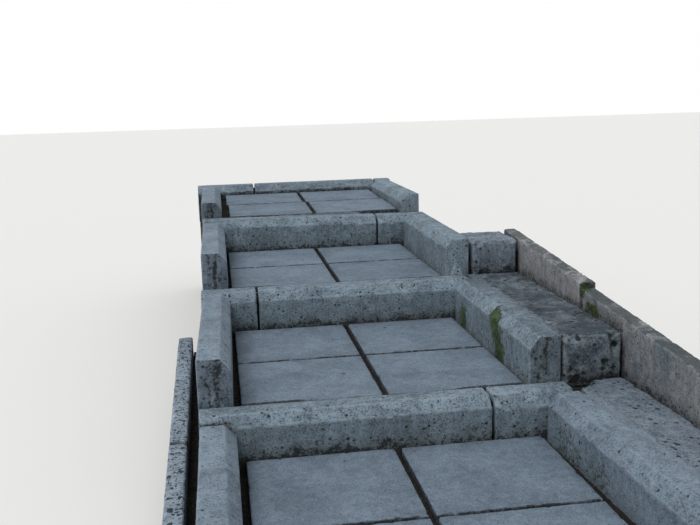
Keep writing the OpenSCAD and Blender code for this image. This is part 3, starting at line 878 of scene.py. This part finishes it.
for i in range(LANDINGS):
    add_landing_kerbs(i)
for part, chips in (("left", 5), ("middle", 10), ("right", 3)):
    add_kerb(f"terrace_kerb_{part}", "front", SLAB_TOPS[3] + TOP_FALL, chips=chips)


# Paving slabs

# Distance of the points along the width, and on the underside, the back, the top and the front
SLAB_STEP = 0.010
SLAB_SIDE_STEPS = [0.060, 0.020, 0.012, 0.020]
SLAB_WEAR = dict(wave=0.0008, grain=0.0002, arris=0.0012, arris_width=0.006)
# Number of chips on the arrises, and ranges of their radius and depth
SLAB_CHIPS = (12, (0.008, 0.026), (0.002, 0.006))


def slab_shell(corner, width, depth, tilt):
    """One slab: its section across the depth is carried along X, laid back by the tilt."""
    corners = [(0, 0), (depth, 0), (depth, SLAB_THICKNESS), (0, SLAB_THICKNESS)]
    section = outline(corners, [SLAB_ARRIS] * 4, SLAB_SIDE_STEPS)
    across = (0, np.cos(tilt), np.sin(tilt))
    upright = (0, -np.sin(tilt), np.cos(tilt))
    rings = (JOINT_RINGS, JOINT_RINGS)
    return Shell(section, width, SLAB_ARRIS, SLAB_STEP, rings).place(corner, across, upright, (1, 0, 0))


def slab_depth(node, tilt):
    """Depth of the slabs of a row, measured along their tilt."""
    low, high = node_box(node)
    return (high[1] - low[1] - SLAB_THICKNESS * np.sin(tilt)) / np.cos(tilt)


def row_line(shell, low, high, behind_riser):
    """Line of dirt, ragged and broken, on the arrises along the front and the back of a row. Behind a riser
    it is wider towards the sides."""
    p = shell.points
    reach = 0.0050 + 0.0025 * noise(p, 0.030, 92)
    line = smooth(reach + 0.0015, reach - 0.0015, np.minimum(p[:, 1] - low[1], high[1] - p[:, 1]))
    line *= smooth(-0.7, -0.2, noise(p, 0.110, 93))
    if behind_riser:
        from_middle = np.abs(p[:, 0] - (low[0] + high[0]) / 2) + 0.04 * noise(p, 0.080, 94)
        wide = reach + 0.018 * smooth(0.22, 0.34, from_middle)
        line = np.maximum(line, smooth(wide + 0.003, wide - 0.003, p[:, 1] - low[1]))
    return line


def add_slab_row(node, tilt):
    """The two slabs of a row, each with chipped arrises, a stained border, and sides darkened down in the
    joints by dirt and painted shade.
    """
    low, high = node_box(node)
    width = (high[0] - low[0] - CENTRE_JOINT) / 2
    shells = []
    for x in (low[0], high[0] - width):
        corner = (x, low[1] + SLAB_THICKNESS * np.sin(tilt), low[2])
        shell = slab_shell(corner, width, slab_depth(node, tilt), tilt)
        seed = name_seed(node) + len(shells)
        normal = wear_down(shell, seed, **SLAB_WEAR)
        shell.marks["wear"] *= 0.3
        chip_arrises(shell, normal, seed, *SLAB_CHIPS)
        border = np.exp(-shell.edge / 0.030) * smooth(-0.6, 0.7, noise(shell.points, 0.09, 91))
        # Upright sides below the top, down in the joints, are dark: dirt and painted shade of the joints
        joint_dirt_and_shade = smooth(0.9, 0.4, normal[:, 2]) * smooth(0.003, 0.006, high[2] - shell.points[:, 2])
        shell.mark("grime_and_shade", np.maximum(0.50 * border, joint_dirt_and_shade))
        shell.mark("grime_and_shade", row_line(shell, low, high, node.endswith("front")))
        shell.mark("pale", 0.5 + 0.3 * RANDOMS[seed % TABLE_SIZE, :1])
        shells.append(shell)
    make_piece("worn_" + node, shells, SLAB, [node])


for rows, tilt in zip(SLAB_ROWS, TILTS):
    for node in rows:
        add_slab_row(node, tilt)


# Shoulder blocks

BLOCK_TOPS = [high[2] for _, high in BLOCK_BOXES]
BLOCK_FRONTS = [low[1] for low, _ in BLOCK_BOXES]
# Distance of the points along the length, and on the underside, the right, the top and the left
BLOCK_STEP = 0.008
BLOCK_SIDE_STEPS = [0.060, 0.012, 0.008, 0.012]
BLOCK_RINGS = (20, 5)
# Number of chips on the arrises, and ranges of their radius and depth
BLOCK_CHIPS = (16, (0.020, 0.050), (0.004, 0.010))
# The corner that is broken off the first block: middle of the ball that it is scooped with, from that
# corner of the stone, and the ball's radius
BROKEN_MIDDLE = np.array([-0.010, 0.010, 0.045])
BROKEN_RADIUS = 0.105
# Holes in the front of the second block: x, z and radius
BLOCK_HOLES = [(0.662, 0.424, 0.010), (0.699, 0.358, 0.016), (0.634, 0.351, 0.009), (0.595, 0.452, 0.010),
               (0.682, 0.448, 0.010), (0.735, 0.418, 0.020), (0.735, 0.335, 0.012), (0.605, 0.318, 0.009)]


def weather_second_block(shell, normal, seed):
    """Pale blotches, holes and a black right arris on the front of the second block, and a top that is paler
    away from the front."""
    p = shell.points
    front = smooth(0.5, 0.8, -normal[:, 1])
    shell.mark("pale", front * smooth(-0.30, 0.30, rough_noise(p, 0.060, 631)))
    shell.mark("pale", 0.35 * (1 - front) * smooth(0.40, 0.90, p[:, 1] - p[:, 1].min()))
    to_right = p[:, 0].max() - p[:, 0] + 0.008 * noise(p, 0.030, 632)
    shell.mark("grime_and_shade", 1.4 * np.exp(-(to_right / 0.016) ** 2) * front)
    for x, z, radius in BLOCK_HOLES:
        scoop(shell, normal, np.array([x, p[:, 1].min() - 0.4 * radius, z]), radius, seed, "grime_and_shade", 1.6)


def weather_third_block(shell, normal, seed):
    """Pale blotches all over the third block. It is called like the other two and needs the shell alone."""
    shell.mark("pale", 0.35 + 0.65 * smooth(-0.30, 0.30, rough_noise(shell.points, 0.070, 633)))


def weather_first_block(shell, normal, seed):
    """Even, pale paste, and the broken corner of the first block, at the back and beside the kerb."""
    p = shell.points
    shell.mark("pale", 0.5)
    corner = np.array([p[:, 0].min(), p[:, 1].max(), p[:, 2].max()])
    scoop(shell, normal, corner + BROKEN_MIDDLE, BROKEN_RADIUS, seed, "grime_and_shade", 0.8)


def add_block(i):
    """Shoulder block i, counted from 0 at the foot: a box with rounded arrises, washed out and broken. The
    first one is half as worn."""
    node = f"shoulder_block_{i + 1}"
    corner, (rightward, onward, upright), size = laid_box(node, BLOCK_TURNS[i])
    corners = [(0, 0), (size[0], 0), (size[0], size[2]), (0, size[2])]
    section = outline(corners, [BLOCK_ARRIS] * 4, BLOCK_SIDE_STEPS)
    shell = Shell(section, size[1], BLOCK_ARRIS, BLOCK_STEP, BLOCK_RINGS)
    shell.place(corner, rightward, upright, onward)
    seed = name_seed(node)
    worn = 1.0 if i else 0.5
    normal = wear_down(shell, seed, wave=0.003, grain=0.0012 * worn, arris=0.004, arris_width=0.014,
                       pits=(0.042, 0.013, 0.45 * worn, 0.006), layers=0.004 * worn)
    chip_arrises(shell, normal, seed, *BLOCK_CHIPS)
    (weather_first_block, weather_second_block, weather_third_block)[i](shell, normal, seed)
    splash_stain(shell, normal, BLOCK_TOPS[i - 1] if i else 0.0, 0.040)
    make_piece("worn_" + node, [shell], BLOCK if i == 1 else PALE_BLOCK, [node])


for i in range(BLOCKS):
    add_block(i)


# Thin stones laid to a fall

# Distance of the points along the length, and on the underside, the right, the top and the left
EDGING_STEP = 0.0085
EDGING_SIDE_STEPS = [0.060, 0.010, 0.008, 0.010]
EDGING_RINGS = (7, 7)
EDGING_WEAR = dict(wave=0.0015, grain=0.0008, arris=0.003, arris_width=0.010,
                   pits=(0.050, 0.009, 0.35, 0.004))
# Number of chips on the arrises, and ranges of their radius and depth
EDGING_CHIPS = (12, (0.012, 0.035), (0.003, 0.008))
# Width of the painted shade of the joints at both ends, on the top and on the sides
END_SHADE_TOP = 0.006
END_SHADE_SIDE = 0.018
# How dirty the foot of the outer kerb and of the edging is, and how pale each stone of the outer kerb
OUTER_DIRT = 0.70
EDGING_DIRT = 0.40
OUTER_PALE = (1.0, 0.5, 0.4)
# Least height of the fill beside the edging
LEAST_FILL = 0.003


def sloping_shell(node, angle):
    """Thin upright stone whose top falls with the angle towards the front. Its rounded top keeps its form,
    and below it the sides are stretched or cut short down to the underside, never past the ground."""
    low, high = node_box(node)
    width, length, height = high[0] - low[0], high[1] - low[1], EDGING_HEIGHT / np.cos(angle)
    corners = [(0, 0), (width, 0), (width, height), (0, height)]
    section = outline(corners, [END_ARRIS, END_ARRIS, EDGING_ARRIS, EDGING_ARRIS], EDGING_SIDE_STEPS)
    shell = Shell(section, length, END_ARRIS, EDGING_STEP, EDGING_RINGS)
    shell.place(low, (1, 0, 0), (0, 0, 1), (0, 1, 0))
    p = shell.points
    deep = height - (p[:, 2] - low[2])
    top = high[2] - np.tan(angle) * (high[1] - p[:, 1])
    bottom = np.maximum(top - height, 0)
    rounded = EDGING_ARRIS + 0.002
    stretch = (top - rounded - bottom) / (height - rounded)
    p[:, 2] = np.where(deep < rounded, top - deep, top - rounded - (deep - rounded) * stretch)
    return shell


def add_thin_stone(node, angle, level, inward, material, dirt, pale=0.5, moss=()):
    """Edging or outer kerb stone. level gives the height of the fill beside it for each point, and inward
    is 1 where the fill lies to its right and -1 where it lies to its left. dirt is the strength of the
    stain above the fill, which is only on that side, and pale how much of the paste is pale."""
    shell = sloping_shell(node, angle)
    seed = name_seed(node)
    normal = wear_down(shell, seed, **EDGING_WEAR)
    chip_arrises(shell, normal, seed, *EDGING_CHIPS)
    splash_stain(shell, normal, level(shell.points), 0.020, dirt * smooth(-0.6, -0.1, inward * normal[:, 0]))
    earth_stain(shell, normal)
    shell.mark("pale", pale)
    shell.marks["wear"] *= 0.6
    # Painted shade of the joints: dark at both ends of the stone
    along = shell.points[:, 1]
    to_end = np.minimum(along - along.min(), along.max() - along) + 0.003 * noise(shell.points, 0.020, 64)
    width = np.where(normal[:, 2] > 0.5, END_SHADE_TOP, END_SHADE_SIDE)
    shell.mark("grime_and_shade", 2.0 * np.exp(-(to_end / width) ** 2))
    moss_patch(shell, moss, 63)
    make_piece("worn_" + node, [shell], material, [node])


def beside_blocks(p):
    """Top of the shoulder block beside each point. Just behind the front of a block it is still that of the
    block before it, because the earth between block and kerb ends there."""
    return np.array([0.0, *BLOCK_TOPS])[np.searchsorted(BLOCK_FRONTS, p[:, 1] - END_FILL)]


FILL_LOW, FILL_HIGH = node_box("edging_fill")


def fill_top(p):
    """Top of the fill between the left kerbs and the edging: it falls with the edging from its back end."""
    return np.maximum(FILL_HIGH[2] - np.tan(EDGING_ANGLE) * (FILL_HIGH[1] - p[:, 1]), LEAST_FILL)


# Moss on the outer kerb, at the joint of its first two stones and at the foot: x, y, z and reach
OUTER_MOSS = [(0.795, -0.655, 0.575, 0.035), (0.795, -0.660, 0.535, 0.040), (0.792, -0.790, 0.475, 0.045),
              (0.792, -0.730, 0.475, 0.030)]

for k in range(THIN_STONES):
    add_thin_stone(f"outer_kerb_{k + 1}", OUTER_ANGLE, beside_blocks, -1, OUTER, OUTER_DIRT, OUTER_PALE[k],
                   OUTER_MOSS)
    add_thin_stone(f"left_edging_{k + 1}", EDGING_ANGLE, fill_top, 1, EDGING, EDGING_DIRT)


# Beds

# Distance of the points on a side that shows and on one that is hidden
FINE = 0.014
HIDDEN = 0.120
# Most distance of the points along a bed, and distance on its underside and on its top
BED_STEP = 0.060
BED_FOOT_STEP = 0.100
BED_TOP_STEP = 0.050
BED_WEAR = dict(wave=0.007, grain=0.0022, arris=0.003, arris_width=0.020, pits=(0.060, 0.016, 0.40, 0.006))
SHOULDER_BED_SEED = 700


def along_longer(low, high):
    """Width and length of a box, and the directions across and along it, where its length is the longer of
    its horizontal sides."""
    size = high - low
    lengthways = int(size[1] > size[0])
    across, onward = ((1, 0, 0), (0, 1, 0)) if lengthways else ((0, 1, 0), (1, 0, 0))
    return size[1 - lengthways], size[lengthways], across, onward


def box_shell(low, high, fine, ends):
    """Box with rounded arrises, carried along its longer horizontal side. fine is the spacing of the points
    on its two long upright sides, left or front first."""
    low, high = np.array(low, float), np.array(high, float)
    width, length, across, onward = along_longer(low, high)
    height = high[2] - low[2]
    corners = [(0, 0), (width, 0), (width, height), (0, height)]
    section = outline(corners, [BED_ARRIS] * 4, [BED_FOOT_STEP, fine[1], BED_TOP_STEP, fine[0]])
    shell = Shell(section, length, BED_ARRIS, min(min(fine), BED_STEP), ends)
    return shell.place(low, across, (0, 0, 1), onward)


def dress_bed(shell, seed):
    """Wears down a box of a bed, which was cast against earth, and stains it."""
    normal = wear_down(shell, seed, **BED_WEAR)
    earth_stain(shell, normal)
    splash_stain(shell, normal, 0.0, 0.060)
    shell.mark("pale", 0.4)


def add_bed(name, boxes, nodes):
    """Bed of several rough boxes, each given by its corners, the spacing on its sides and the rings on its
    ends. One that is too low for its arrises is left out."""
    shells = []
    for low, high, fine, ends in boxes:
        if high[2] - low[2] < 4 * BED_ARRIS:
            continue
        shell = box_shell(low, high, fine, ends)
        dress_bed(shell, name_seed(name) + len(shells))
        shells.append(shell)
    make_piece(name, shells, BED, nodes)


def add_landing_bed(i):
    """Bed of landing i: below the riser, below each side kerb and below the slabs."""
    y0, y1, y2 = FRONT_OF_RISER[i], BACK_OF_RISER[i], FRONT_OF_RISER[i + 1]
    riser_foot = node_box(f"riser_{i + 1}_right")[0][2]
    (left_low, left_high), (right_low, right_high) = LEFT_KERBS[i], RIGHT_KERBS[i]
    x1, x2, x3 = left_high[0], right_low[0], right_high[0]
    add_bed(f"rough_landing_bed_{i + 1}", [
        ((LEFT_FACE, y0, 0), (RIGHT_FACE, y1, riser_foot), (HIDDEN, HIDDEN), (7, 7)),
        ((LEFT_FACE, y1, 0), (x1, y2, left_low[2]), (FINE, HIDDEN), (3, 3)),
        ((x2, y1, 0), (x3, y2, right_low[2]), (HIDDEN, FINE), (3, 3)),
        ((x1, y1, 0), (x2, y2, SLAB_TOPS[i] - SLAB_THICKNESS), (HIDDEN, HIDDEN), (2, 2)),
    ], [f"landing_bed_{i + 1}"])


def outer_bed_shell(k):
    """Bed below outer kerb stone k, on the line of the first one: its heights are scaled so that its top has
    the fall of the stone's underside."""
    low, high = node_box(f"outer_kerb_{k + 1}")
    row_low, row_high = node_box("outer_kerb_1")
    foot = EDGING_HEIGHT / np.cos(OUTER_ANGLE)
    shell = box_shell((row_low[0], low[1], 0), (row_high[0], high[1], high[2] - foot), (HIDDEN, FINE), (6, 6))
    p = shell.points
    p[:, 2] *= (high[2] - foot - np.tan(OUTER_ANGLE) * (high[1] - p[:, 1])) / (high[2] - foot)
    return shell


def add_shoulder_bed():
    """Bed of the shoulder blocks and of the outer kerb."""
    shells = [outer_bed_shell(k) for k in range(THIN_STONES)]
    for (low, high), (_, kerb_high) in zip(BLOCK_BOXES, RIGHT_KERBS):
        corners = (kerb_high[0], low[1], 0), (OUTER_X, high[1], low[2])
        shells.append(box_shell(*corners, (HIDDEN, HIDDEN), (8, 8)))
    for k, shell in enumerate(shells):
        dress_bed(shell, SHOULDER_BED_SEED + k)
    make_piece("rough_shoulder_bed", shells, BED, ["shoulder_bed"])


for i in range(LANDINGS):
    add_landing_bed(i)
add_bed("rough_terrace_footing", [(*node_box("terrace_footing"), (HIDDEN, FINE), (8, 8))],
        ["terrace_footing"])
add_shoulder_bed()


# Earth in the joints

# Distance of the points on a strip of earth, and size of its rises and dips
EARTH_STEP = 0.006
LUMP_SIZE = 0.028
# Radius of the edge round the ends of a strip, which is as good as sharp
EARTH_ARRIS = 0.0005
# Strips of earth with the numbers of their points that carry a bit of grit. Each strip has its own seed, from
# 400 to 505.
GRIT_SPOTS = []


def earth_section(width, height):
    """Section of a strip of earth: two points below, and a row of points across the top."""
    count = pieces_in(width, EARTH_STEP, 4)
    top = np.linspace(width, 0, count)
    ring = np.concatenate([[(0.0, 0.0), (width, 0.0)], np.stack([top, np.full(count, height)], axis=1)])
    normals = np.concatenate([[(0.0, -1.0), (0.0, -1.0)], np.tile((0.0, 1.0), (count, 1))])
    return ring, normals, np.full(len(ring), width / 2)


def earth_strip(low, high, lumps, seed, grit=0):
    """Strip of earth, carried along its longer horizontal side. Its top rises and dips by noise of a few
    crumbs and of the height lumps, and some of its points carry grit."""
    low, high = np.array(low, float), np.array(high, float)
    width, length, across, onward = along_longer(low, high)
    height = high[2] - low[2]
    shell = Shell(earth_section(width, height), length, EARTH_ARRIS, EARTH_STEP, (2, 2))
    shell.place(low, across, (0, 0, 1), onward)
    on_top = shell.points[:, 2] > low[2] + 0.9 * height
    shell.points[:, 2] += np.where(on_top, lumps * rough_noise(shell.points, LUMP_SIZE, seed), 0)
    rng = np.random.default_rng(seed)
    GRIT_SPOTS.append((shell, rng.choice(np.flatnonzero(on_top), size=grit)))
    return shell


def swing(box, turn):
    """How far the two ends of a turned stone lie apart in x: its length times the sine of the turn."""
    low, high = box
    return (high[1] - low[1]) * abs(np.sin(turn))


def add_joint_earth(i):
    """Earth round the slabs of landing i. The wide joint behind the riser is washed full of sand."""
    top, bottom, tilt = SLAB_TOPS[i], SLAB_TOPS[i] - SLAB_THICKNESS, TILTS[i]
    (front_low, front_high), (back_low, back_high) = (node_box(node) for node in SLAB_ROWS[i])
    left_in = LEFT_KERBS[i][1][0] - swing(LEFT_KERBS[i], LEFT_TURNS[i]) - LAP
    right_in = RIGHT_KERBS[i][0][0] + swing(RIGHT_KERBS[i], RIGHT_TURNS[i]) + LAP
    lows, highs = (front_low[0], back_low[0]), (front_high[0], back_high[0])
    middles = [(low + high) / 2 for low, high in zip(lows, highs)]
    x1, x2 = min(middles) - CENTRE_JOINT / 2, max(middles) + CENTRE_JOINT / 2
    y0, y1, y2 = BACK_OF_RISER[i], front_low[1], FRONT_OF_RISER[i + 1]
    row_gap = front_high[1] - SLAB_THICKNESS * np.sin(tilt), back_low[1]
    lap = SLAB_ARRIS
    # Corners, height of the lumps and number of bits of grit: left, middle, right, two between the rows, back
    strips = [
        ((left_in, y1, bottom), (max(lows), y2, top - LEFT_FILL), 0.006, 90),
        ((x1, y1, bottom), (x2, y2, top - CENTRE_FILL), 0.005, 60),
        ((min(highs), y1, bottom), (right_in, y2, top - RIGHT_FILL), 0.005, 70),
        ((min(lows) - lap, row_gap[0], bottom), (x1 + lap, row_gap[1], top - ROW_FILL), 0.003, 20),
        ((x2 - lap, row_gap[0], bottom), (max(highs) + lap, row_gap[1], top - ROW_FILL), 0.003, 20),
        ((min(lows) - lap, back_high[1], bottom), (max(highs) + lap, y2, top - BACK_FILL), 0.003, 30),
    ]
    soil = [earth_strip(low, high, lumps, 400 + 10 * i + k, grit)
            for k, (low, high, lumps, grit) in enumerate(strips)]
    sand = [earth_strip((left_in, y0, bottom), (right_in, y1 + lap, top - FRONT_FILL), 0.003, 480 + i, 60)]
    p = sand[0].points
    from_middle = np.abs(p[:, 0] - (left_in + right_in) / 2) + 0.05 * noise(p, 0.100, 490 + i)
    p[:, 2] -= np.where(p[:, 2] > bottom + LAP, SUNK_FILL * smooth(0.24, 0.36, from_middle), 0)
    for shell in soil + sand:
        shell.points[:, 2] += np.tan(tilt) * (shell.points[:, 1] - y1)
    make_piece(f"joint_earth_{i + 1}", soil, SOIL_AND_SHADE)
    make_piece(f"joint_sand_{i + 1}", sand, SAND_AND_SHADE)


def add_riser_joints():
    """Earth in the open joints between the stones of each riser row and of the terrace edge, set back from
    their faces and below their tops."""
    pairs = [(f"riser_{i + 1}_left", f"riser_{i + 1}_right") for i in range(LANDINGS)]
    pairs += [("terrace_kerb_left", "terrace_kerb_middle"), ("terrace_kerb_middle", "terrace_kerb_right")]
    shells = []
    for k, (left, right) in enumerate(pairs):
        (left_low, left_high), (right_low, right_high) = node_box(left), node_box(right)
        low = (left_high[0] - LAP, left_low[1] + RISER_FILL, left_low[2] + LAP)
        high = (right_low[0] + LAP, left_high[1] - LAP, right_high[2] - RISER_FILL)
        shells.append(earth_strip(low, high, 0.004, 500 + k))
    make_piece("riser_joint_earth", shells, SOIL_AND_SHADE)


def add_edging_fill():
    """Earth between the left kerbs and the edging, with the fall of the edging."""
    shell = earth_strip((FILL_LOW[0], FILL_LOW[1], 0), FILL_HIGH, 0.006, 440, 200)
    shell.points[:, 2] *= fill_top(shell.points) / FILL_HIGH[2]
    make_piece("earth_beside_edging", [shell], SOIL_AND_SHADE, ["edging_fill"])


def add_shoulder_joints():
    """Earth in the two gaps beside each shoulder block and in the broken corner of the first, with sand
    washed in beside the kerbs, which is a paler, lit copy beside the first."""
    block_low, block_high = BLOCK_BOXES[0]
    corner_low = node_box("riser_2_right")[1][0] - LAP, block_high[1] - CORNER_REACH, block_low[2] + LAP
    corner_high = block_low[0] + CORNER_REACH / 2, block_high[1] - LAP, block_high[2] - CORNER_FILL
    earth, sand = [earth_strip(corner_low, corner_high, 0.006, 470, 60)], []
    for i, (low, high) in enumerate(BLOCK_BOXES):
        kerb_high = RIGHT_KERBS[i][1]
        foot, front = low[2] + LAP, low[1] + END_FILL
        inner_top = min(high[2], kerb_high[2]) - INNER_FILLS[i]
        block_swing = swing(BLOCK_BOXES[i], BLOCK_TURNS[i])
        inner_low = kerb_high[0] - swing(RIGHT_KERBS[i], RIGHT_TURNS[i]) - LAP, front, foot
        inner_high = low[0] + block_swing + LAP, high[1] - (0 if i else CORNER_REACH), inner_top
        outer_low = high[0] - block_swing - LAP, front, foot
        sand.append(earth_strip(inner_low, inner_high, 0.003, 450 + i, 60))
        outer_high = OUTER_X, high[1], high[2] - OUTER_FILLS[i]
        earth.append(earth_strip(outer_low, outer_high, 0.006, 460 + i, 90))
    make_piece("shoulder_joint_earth", earth, SOIL_AND_SHADE)
    make_piece("shoulder_joint_sand", sand[1:], SAND_AND_SHADE)
    make_piece("first_shoulder_joint_sand", sand[:1], LIT_SAND)


for i in range(LANDINGS):
    add_joint_earth(i)
add_riser_joints()
add_edging_fill()
add_shoulder_joints()


# Grit lying in the joints

# Radius of the smallest bit, and how much larger the largest one is
GRIT_RADIUS = 0.001
GRIT_RANGE = 0.0028
# Points of a bit: so many in each ring, and so many rings between its poles
GRIT_AROUND = 6
GRIT_RINGS = 4


def add_grit():
    """Bits of grit: flattened balls of about 2 mm to 7 mm. Each point stands at
    r (1 + 0.3 u) (sin a cos b, sin a sin b, 0.7 cos a) from the middle, with u at random. Each bit is
    stretched a little along each axis and turned about the upright by a random angle."""
    rng = np.random.default_rng(RNG_SEED + 1)
    middles = np.concatenate([shell.points[chosen] for shell, chosen in GRIT_SPOTS])
    count = len(middles)
    a = np.linspace(0, np.pi, GRIT_RINGS + 2)[1:-1]
    b = 2 * np.pi * np.arange(GRIT_AROUND) / GRIT_AROUND
    ball = np.stack([np.outer(np.sin(a), np.cos(b)), np.outer(np.sin(a), np.sin(b)),
                     0.7 * np.outer(np.cos(a), np.ones(GRIT_AROUND))], axis=2).reshape(-1, 3)
    ball = np.concatenate([[(0, 0, 0.7)], ball, [(0, 0, -0.7)]])
    radius = GRIT_RADIUS + GRIT_RANGE * rng.random(count) ** 2
    uneven = 1 + 0.3 * rng.uniform(-1, 1, (count, len(ball), 1))
    form = ball[None] * uneven * rng.uniform(0.7, 1.2, (count, 1, 3))
    turn = rng.uniform(0, 2 * np.pi, count)
    c, s = np.cos(turn)[:, None], np.sin(turn)[:, None]
    x, y, z = form[..., 0], form[..., 1], form[..., 2]
    turned = np.stack([c * x - s * y, s * x + c * y, z], axis=2)
    points = middles[:, None] + radius[:, None, None] * turned
    index = 1 + np.arange(GRIT_RINGS * GRIT_AROUND).reshape(GRIT_RINGS, GRIT_AROUND)
    beside = np.roll(index, -1, axis=1)
    pole = np.zeros(GRIT_AROUND, int)
    fans = np.concatenate([np.stack([pole, index[0], beside[0]], axis=1),
                           np.stack([pole + len(ball) - 1, beside[-1], index[-1]], axis=1)])
    quads = np.stack([index[:-1], index[1:], beside[1:], beside[:-1]], axis=2).reshape(-1, 4)
    shift = (np.arange(count) * len(ball))[:, None, None]
    piece = link_mesh("joint_grit", points.reshape(-1, 3), (fans + shift).reshape(-1, 3),
                      (quads + shift).reshape(-1, 4), GRIT)
    tone = np.repeat(rng.random(count), len(ball))
    piece.data.attributes.new("tone", "FLOAT", "POINT").data.foreach_set("value", tone)
    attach(piece, "root")


add_grit()


# Camera, floor and light

FLOOR_REACH = 40.0
FLOOR_TONE = "#e6e6e4"
FLOOR_ROUGHNESS = 0.9
# Strength of the white studio walls, as light and as what is seen or mirrored
STUDIO_LIGHT = 0.65
STUDIO_WHITE = 1.0
# The lamp: its strength, the angle that it fills and its turn in degrees
LAMP_STRENGTH = 1.55
LAMP_ANGLE = 0.5
LAMP_TURN = (26, -27, 0)


def place_camera():
    """Camera at the photograph's place: its axes are turned by yaw, then pitch, then roll."""
    cy, sy = np.cos(CAMERA_YAW), np.sin(CAMERA_YAW)
    cp, sp = np.cos(CAMERA_PITCH), np.sin(CAMERA_PITCH)
    yaw = np.array([[cy, -sy, 0], [sy, cy, 0], [0, 0, 1]])
    pitch = np.array([[1, 0, 0], [0, cp, sp], [0, -sp, cp]])
    right, forward, up = (yaw @ pitch).T
    rolled_right = np.cos(CAMERA_ROLL) * right + np.sin(CAMERA_ROLL) * up
    rolled_up = -np.sin(CAMERA_ROLL) * right + np.cos(CAMERA_ROLL) * up
    data = bpy.data.cameras.new("camera")
    data.sensor_width = SENSOR_WIDTH
    data.lens = FOCAL_PIXELS / FRAME_PIXELS * SENSOR_WIDTH
    camera = bpy.data.objects.new("camera", data)
    pose = np.eye(4)
    pose[:3] = np.stack([rolled_right, rolled_up, -forward, CAMERA_PLACE], axis=1)
    camera.matrix_world = Matrix(pose.tolist())
    bpy.context.scene.collection.objects.link(camera)
    bpy.context.scene.camera = camera


def lay_floor():
    """Plain pale floor under the flight: one square."""
    r = FLOOR_REACH
    mesh = bpy.data.meshes.new("floor")
    mesh.from_pydata([(-r, -r, 0), (r, -r, 0), (r, r, 0), (-r, r, 0)], [], [(0, 1, 2, 3)])
    floor = bpy.data.objects.new("floor", mesh)
    bpy.context.scene.collection.objects.link(floor)
    material, _, shader = new_material("pale_floor")
    shader.inputs["Base Color"].default_value = hex_linear(FLOOR_TONE)
    shader.inputs["Roughness"].default_value = FLOOR_ROUGHNESS
    mesh.materials.append(material)


def light_studio():
    """Even light from all round and a wide soft lamp from above, a little from the left and the front."""
    world = bpy.data.worlds.new("studio")
    bpy.context.scene.world = world
    world.use_nodes = True
    tree = world.node_tree
    background = tree.nodes["Background"]
    rays = add(tree, "ShaderNodeLightPath").outputs
    seen = reckon(tree, "ADD", rays["Is Camera Ray"], rays["Is Glossy Ray"])
    seen = reckon(tree, "ADD", seen, rays["Is Transmission Ray"])
    strength = add(tree, "ShaderNodeMapRange",
                   {"Value": seen, "To Min": STUDIO_LIGHT, "To Max": STUDIO_WHITE})
    tree.links.new(strength.outputs[0], background.inputs["Strength"])
    background.inputs["Color"].default_value = (1, 1, 1, 1)
    lamp = bpy.data.objects.new("soft_lamp", bpy.data.lights.new("soft_lamp", "SUN"))
    lamp.data.energy = LAMP_STRENGTH
    lamp.data.angle = LAMP_ANGLE
    lamp.rotation_euler = np.radians(LAMP_TURN)
    bpy.context.scene.collection.objects.link(lamp)


place_camera()
lay_floor()
light_studio()
bpy.context.scene.view_settings.view_transform = "Standard"
